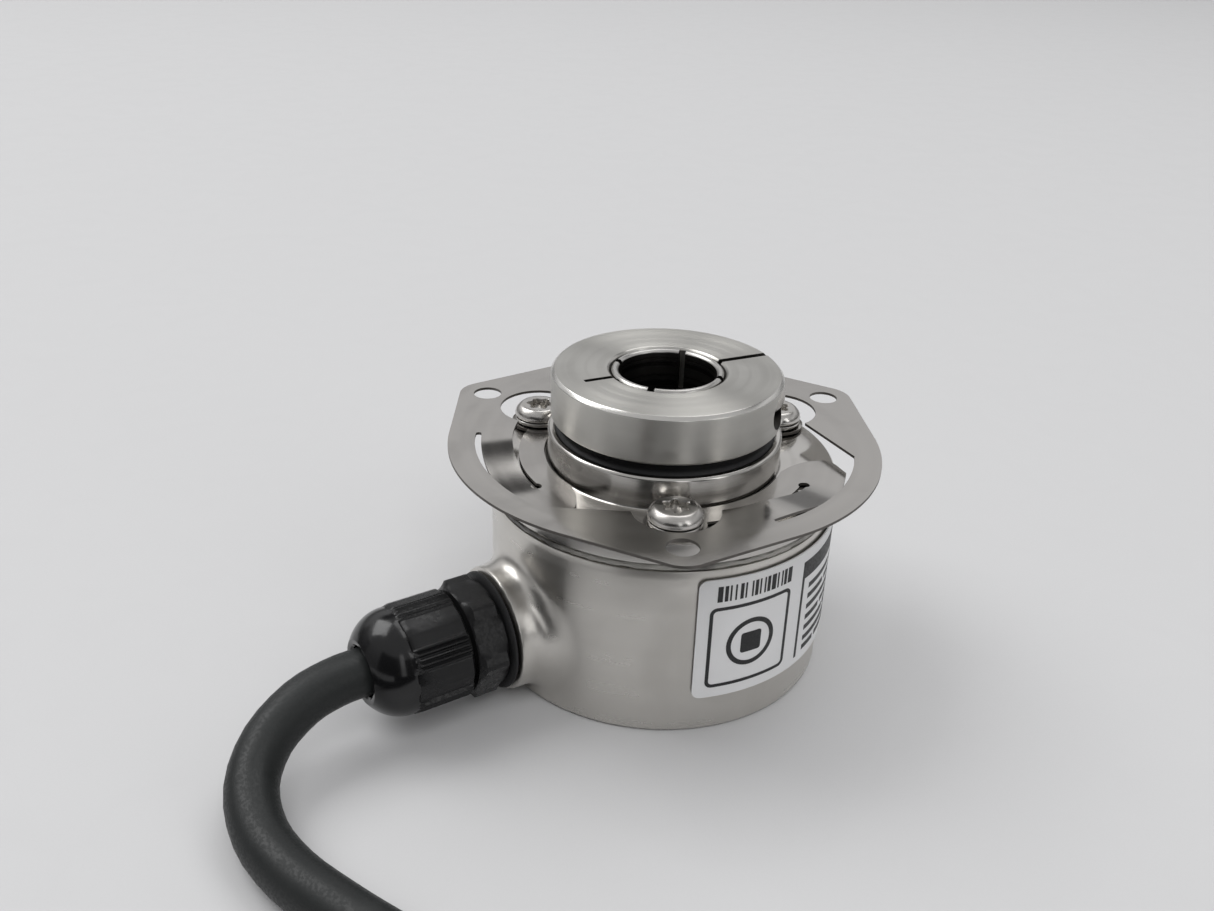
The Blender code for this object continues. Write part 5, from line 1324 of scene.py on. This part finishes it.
    def band(self, azimuth: float) -> bpy.types.Mesh:
        """Build one band of tape round the coil."""
        solid = bmesh.new()
        reach = self.radius + self.band_thickness
        low, high = (self.inner - reach, self.low - reach), (self.outer + reach, self.high + reach)
        loops = [rounded_box(low, high, reach),
                 rounded_box((low[0] + self.band_thickness, low[1] + self.band_thickness),
                             (high[0] - self.band_thickness, high[1] - self.band_thickness), self.radius)]
        steps = 6
        spread = self.band_half / self.outer
        turns = [math.radians(azimuth) + spread * (2 * k / steps - 1) for k in range(steps + 1)]
        rows = []
        for loop, angles in ((loops[0], turns), (loops[1], reversed(turns))):
            rows += [[solid.verts.new(self.on_coil(angle, *point)) for point in loop] for angle in angles]
        join_rows(solid, rows + rows[:1])
        bmesh.ops.recalc_face_normals(solid, faces=solid.faces)
        return to_mesh("coil_band", solid)

    def build(self, finishes: dict[str, bpy.types.Material], effects: Effects) -> None:
        line = self.line()
        solid = bmesh.new()
        add_tube(solid, line, [self.radius] * len(line), 32)
        bmesh.ops.recalc_face_normals(solid, faces=solid.faces)
        sheath = new_piece("cable", to_mesh("cable", solid, 60.0), [finishes["cable_sheath"]], "housing",
                           ("cable_tube", "cable_coil"), "cable_sheath")
        colours = [Moulded(f"lead_{name}", colour, colour, 0.36).build(effects)
                   for name, colour in LEAD_COLOURS.items()]
        parts = [new_piece("cable_leads", self.leads(), colours + [finishes["tinned_copper"]], "housing",
                           ("cable_lead_ends",), "lead_insulation")]
        parts += [new_piece(f"coil_band_{i + 1}", self.band(azimuth), [finishes["black_rubber"]],
                            "housing", (), "cable_sheath") for i, azimuth in enumerate(self.band_places)]


LEAD_COLOURS: dict[str, Triple] = {
    "brown": (0.13, 0.05, 0.02), "white": (0.75, 0.75, 0.73), "green": (0.03, 0.28, 0.08),
    "yellow": (0.80, 0.62, 0.05), "grey": (0.28, 0.29, 0.30), "pink": (0.75, 0.30, 0.36),
    "blue": (0.03, 0.10, 0.45), "red": (0.55, 0.03, 0.03),
}


def hermite(start: Vector, end: Vector, leaving: Vector, arriving: Vector, t: float) -> Vector:
    """Point on a cubic between two points with given tangents, t from 0 to 1."""
    a, b = 2 * t ** 3 - 3 * t ** 2 + 1, t ** 3 - 2 * t ** 2 + t
    c, d = -2 * t ** 3 + 3 * t ** 2, t ** 3 - t ** 2
    return a * start + b * leaving + c * end + d * arriving


def spline(points: list[Vector], per_span: int) -> list[Vector]:
    """Read a Catmull-Rom curve through points.

    Args:
        points: The points that the curve passes.
        per_span: Points read between two of them.

    Returns:
        The finer line, both ends included.
    """
    knots = [2 * points[0] - points[1]] + points + [2 * points[-1] - points[-2]]
    line = []
    for i in range(1, len(knots) - 2):
        for step in range(per_span):
            t = step / per_span
            a, b, c, d = knots[i - 1:i + 3]
            line.append(0.5 * (2 * b + (c - a) * t + (2 * a - 5 * b + 4 * c - d) * t ** 2
                               + (3 * b - a - 3 * c + d) * t ** 3))
    line.append(knots[-2])
    return line


def add_tube(solid: bmesh.types.BMesh, line: list[Vector], radii: list[float], sides: int,
             index: int = 0) -> None:
    """Add a closed round tube along a line.

    Args:
        solid: The solid that it is added to.
        line: Points of the centre line.
        radii: Radius at each point.
        sides: Faces round the tube.
        index: Material index of its faces.
    """
    across = None
    rings = []
    for i, (centre, radius) in enumerate(zip(line, radii)):
        ahead = (line[min(i + 1, len(line) - 1)] - line[max(i - 1, 0)]).normalized()
        if across is None:
            across = ahead.cross(Vector((0.0, 0.0, 1.0)))
        across = (across - ahead * across.dot(ahead)).normalized()
        other = ahead.cross(across)
        rings.append([solid.verts.new(centre + radius * (across * math.cos(a) + other * math.sin(a)))
                      for a in (math.tau * k / sides for k in range(sides))])
    faces = join_rows(solid, rings)
    faces += [solid.faces.new(rings[0]), solid.faces.new(list(reversed(rings[-1])))]
    for face in faces:
        face.material_index = index


# ---------------------------------------------------------------- studio

@dataclass(frozen=True)
class Studio:
    """Pale floor, soft lights and the camera."""

    eye: Triple = (0.0, -0.1545, 0.1084)
    yaw: float = -0.053
    pitch: float = 0.469
    roll: float = 0.033
    lens: float = 34.962
    floor_radius: float = 4.0
    overhead: float = 0.85
    backdrop: Triple = (1.15, 1.15, 1.16)
    # Azimuth, half widths of core and edge in degrees, sines of the lowest and highest elevation, factor.
    patches: tuple[tuple[float, ...], ...] = (
        (-105.0, 22.0, 34.0, -1.0, 0.62, 0.10),
        (-52.0, 7.0, 14.0, -1.0, 0.55, 0.18),
        (-69.0, 4.0, 9.0, -1.0, 0.70, 3.2),
        (170.0, 12.0, 26.0, -1.0, 0.45, 0.35),
        (90.0, 60.0, 90.0, 0.56, 0.76, 0.20),
        (90.0, 80.0, 110.0, 0.20, 0.52, 2.0),
        (15.0, 10.0, 20.0, -1.0, 0.40, 0.5),
    )

    def camera(self) -> None:
        """Make the camera."""
        data = bpy.data.cameras.new("camera")
        data.sensor_width = 36.0
        data.lens = self.lens
        data.clip_start = 0.005
        ahead = Vector((math.sin(self.yaw) * math.cos(self.pitch),
                        math.cos(self.yaw) * math.cos(self.pitch), -math.sin(self.pitch)))
        right = Vector((math.cos(self.yaw), -math.sin(self.yaw), 0.0))
        up = right.cross(ahead)
        turned_right = math.cos(self.roll) * right + math.sin(self.roll) * up
        turned_up = -math.sin(self.roll) * right + math.cos(self.roll) * up
        camera = bpy.data.objects.new("camera", data)
        bpy.context.scene.collection.objects.link(camera)
        rotation = Matrix((turned_right, turned_up, -ahead)).transposed().to_4x4()
        camera.matrix_world = Matrix.Translation(self.eye) @ rotation
        bpy.context.scene.camera = camera

    def floor(self, material: bpy.types.Material) -> None:
        """Make the pale floor."""
        mesh = bpy.data.meshes.new("floor")
        solid = bmesh.new()
        bmesh.ops.create_circle(solid, cap_ends=True, segments=64, radius=self.floor_radius)
        solid.to_mesh(mesh)
        solid.free()
        mesh.materials.append(material)
        plane = bpy.data.objects.new("floor", mesh)
        bpy.context.scene.collection.objects.link(plane)

    def lamp(self, name: str, place: Triple, target: Triple, size: Pair, power: float,
             mirrored: bool = True) -> None:
        """Hang one rectangular soft light.

        Args:
            name: Name of the light.
            place: Its centre.
            target: Point that it faces.
            size: Its width and height.
            power: Its power in watts.
            mirrored: Whether it shows in reflections.
        """
        data = bpy.data.lights.new(name, "AREA")
        data.shape = "RECTANGLE"
        data.size, data.size_y = size
        data.energy = power
        lamp = bpy.data.objects.new(name, data)
        bpy.context.scene.collection.objects.link(lamp)
        lamp.visible_glossy = mirrored
        lamp.location = place
        lamp.rotation_euler = (Vector(target) - Vector(place)).to_track_quat("-Z", "Y").to_euler()

    def sky(self) -> None:
        """Fill light: a pale room, bright overhead, with dark and bright parts round its walls."""
        world = bpy.data.worlds.new("room")
        bpy.context.scene.world = world
        world.use_nodes = True
        shade = Shade(world.node_tree)
        background = world.node_tree.nodes["Background"]
        way = shade.node("ShaderNodeTexCoord").outputs["Generated"]
        parts = shade.node("ShaderNodeSeparateXYZ", {0: way}).outputs
        level = shade.ranged(parts[2], 0.10, 0.75, 0.42, self.overhead)
        flat = shade.node("ShaderNodeCombineXYZ", {0: parts[0], 1: parts[1]}).outputs[0]
        flat = shade.node("ShaderNodeVectorMath", {0: flat}, operation="NORMALIZE").outputs[0]
        for azimuth, near, far, low, high, share in self.patches:
            angle = math.radians(azimuth)
            facing = shade.node("ShaderNodeVectorMath", {0: flat, 1: (*polar(1.0, angle), 0.0)},
                                operation="DOT_PRODUCT").outputs["Value"]
            inside = shade.ranged(facing, math.cos(math.radians(far)), math.cos(math.radians(near)), 0.0, 1.0)
            rise = shade.ranged(parts[2], low - 0.06, low + 0.06, 0.0, 1.0)
            fall = shade.ranged(parts[2], high - 0.06, high + 0.06, 1.0, 0.0)
            inside = shade.maths("MULTIPLY", inside, shade.maths("MULTIPLY", rise, fall))
            level = shade.maths("MULTIPLY", level, shade.ranged(inside, 0.0, 1.0, 1.0, share))
        blue = shade.maths("MULTIPLY", level, 1.01)
        grey = shade.node("ShaderNodeCombineColor", {0: level, 1: level, 2: blue}).outputs[0]
        seen = shade.node("ShaderNodeLightPath").outputs["Is Camera Ray"]
        shade.tree.links.new(shade.mixed(seen, grey, rgba(self.backdrop)), background.inputs["Color"])
        background.inputs["Strength"].default_value = 0.60

    def build(self, floor: bpy.types.Material) -> None:
        """Set up the whole studio."""
        bpy.context.scene.view_settings.view_transform = "Standard"
        self.camera()
        self.floor(floor)
        self.sky()
        self.lamp("key", (-1.2, 0.5, 1.7), (0.0, 0.0, 0.02), (1.3, 1.3), 21.0)
        self.lamp("top", (0.5, 0.9, 2.0), (0.0, 0.3, 0.02), (1.6, 1.2), 12.0)
        self.lamp("front", (0.3, -1.3, 1.9), (0.0, -0.1, 0.02), (1.2, 1.2), 16.0, mirrored=False)
        self.lamp("side", (1.4, -0.9, 0.9), (0.0, 0.0, 0.02), (0.4, 1.2), 2.5)


FINISHES = {
    "cup_steel": Steel("cup_steel", (0.64, 0.62, 0.585), (0.53, 0.51, 0.475), 0.27, 0.04, lines=2500.0,
                       brushed=0.5),
    "flange_steel": Steel("flange_steel", (0.56, 0.545, 0.52), (0.46, 0.44, 0.42), 0.13, 0.08, lines=5000.0,
                          depth=0.00001, brushed=0.6),
    "shaft_steel": Steel("shaft_steel", (0.55, 0.54, 0.52), (0.42, 0.40, 0.38), 0.24, lines=6000.0,
                         brushed=0.6),
    "clamp_steel": Steel("clamp_steel", (0.56, 0.55, 0.52), (0.42, 0.41, 0.39), 0.30, 0.08, lines=6000.0,
                         depth=0.00001, brushed=0.85),
    # Lighter steel on the clamp's top chamfer: painted highlight; its lower roughness is real polish.
    "chamfer_painted_highlight": Steel("chamfer_painted_highlight", (0.70, 0.69, 0.66), (0.58, 0.57, 0.55), 0.20, 0.05, lines=6000.0),
    # Near-black steel inside the shaft's bore: painted shade.
    "bore_painted_shade": Steel("bore_painted_shade", (0.10, 0.095, 0.09), (0.05, 0.048, 0.045), 0.22, lines=6000.0,
                        brushed=0.5),
    # Near-black steel on the walls of cut slots, split, screw hole and pocket: painted shade.
    "slot_painted_shade": Steel("slot_painted_shade", (0.05, 0.047, 0.043), (0.03, 0.028, 0.026), 0.5),
    "spring_sheet": Steel("spring_sheet", (0.44, 0.425, 0.405), (0.36, 0.345, 0.33), 0.11, 0.06, lines=1500.0,
                          depth=0.000004),
    # Dark steel on the sheet's cut edges: painted shade.
    "cut_edge_painted_shade": Steel("cut_edge_painted_shade", (0.16, 0.15, 0.14), (0.12, 0.11, 0.10), 0.45),
    "screw_steel": Steel("screw_steel", (0.58, 0.565, 0.54), (0.44, 0.42, 0.40), 0.16, lines=2500.0),
    "bearing_steel": Steel("bearing_steel", roughness=0.12, lines=6000.0),
    "cage_brass": Steel("cage_brass", (0.72, 0.50, 0.24), (0.45, 0.30, 0.14), 0.3),
    "brass": Steel("brass", (0.74, 0.53, 0.26), (0.45, 0.30, 0.14), 0.28),
    "black_rubber": Moulded("black_rubber", (0.010, 0.010, 0.011), (0.05, 0.05, 0.05), 0.45, gloss=0.35),
    "sealant": Moulded("sealant", (0.42, 0.41, 0.38), (0.06, 0.055, 0.05), 0.30, grain=1200.0, depth=0.0001,
                       dust_share=0.9),
    "label_film": Moulded("label_film", (0.78, 0.78, 0.785), (0.68, 0.68, 0.68), 0.32, depth=0.000004),
    "ink": Moulded("ink", (0.010, 0.010, 0.011), (0.03, 0.03, 0.03), 0.38, depth=0.000002),
    "disc_glass": Moulded("disc_glass", (0.06, 0.07, 0.09), (0.12, 0.13, 0.15), 0.08, coat=0.6),
    "board_laminate": Moulded("board_laminate", (0.02, 0.12, 0.05), (0.05, 0.18, 0.09), 0.38),
    "dark_plastic": Moulded("dark_plastic", (0.02, 0.02, 0.022), (0.08, 0.08, 0.08), 0.5),
    "gland_plastic": Moulded("gland_plastic", (0.007, 0.007, 0.0075), (0.02, 0.02, 0.02), 0.26, grain=2200.0,
                             depth=0.00003, gloss=0.3),
    "gloss_plastic": Moulded("gloss_plastic", (0.006, 0.006, 0.0065), (0.012, 0.012, 0.012), 0.12, 0.05,
                             grain=900.0, depth=0.000006, gloss=0.45),
    "cable_sheath": Moulded("cable_sheath", (0.012, 0.0135, 0.0135), (0.03, 0.032, 0.032), 0.40, grain=2600.0,
                            gloss=0.35),
    "tinned_copper": Steel("tinned_copper", (0.70, 0.69, 0.66), (0.5, 0.49, 0.47), 0.3),
    "lead_insulation": Moulded("lead_insulation", (0.5, 0.5, 0.5), (0.6, 0.6, 0.6), 0.4),
    "floor": Moulded("floor", (0.545, 0.545, 0.55), (0.53, 0.53, 0.535), 0.6, depth=0.000001, dust_share=0.1),
}


def dress_inner_nodes(finishes: dict[str, bpy.types.Material]) -> None:
    """Give each CAD node the finish that its first material slot names."""
    for node in list(bpy.data.objects):
        if "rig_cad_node" in node and node.material_slots:
            finish = finishes.get(node.material_slots[0].material.name, finishes["clamp_steel"])
            for slot in node.material_slots:
                slot.material = finish
    LOG.info("the frame has %d nodes", len(frame["nodes"]))


def main() -> None:
    """Build every piece in order."""
    logging.basicConfig(level=logging.INFO, format="%(name)s: %(message)s")
    effects = Effects()
    finishes = {name: finish.build(effects) for name, finish in FINISHES.items()}
    Studio().build(finishes["floor"])
    Cable().build(finishes, effects)
    for assembly in (Housing(), Rotor(), Coupling(), Label(), Gland()):
        assembly.build(finishes)
    dress_inner_nodes(finishes)


if __name__ == "__main__":
    main()
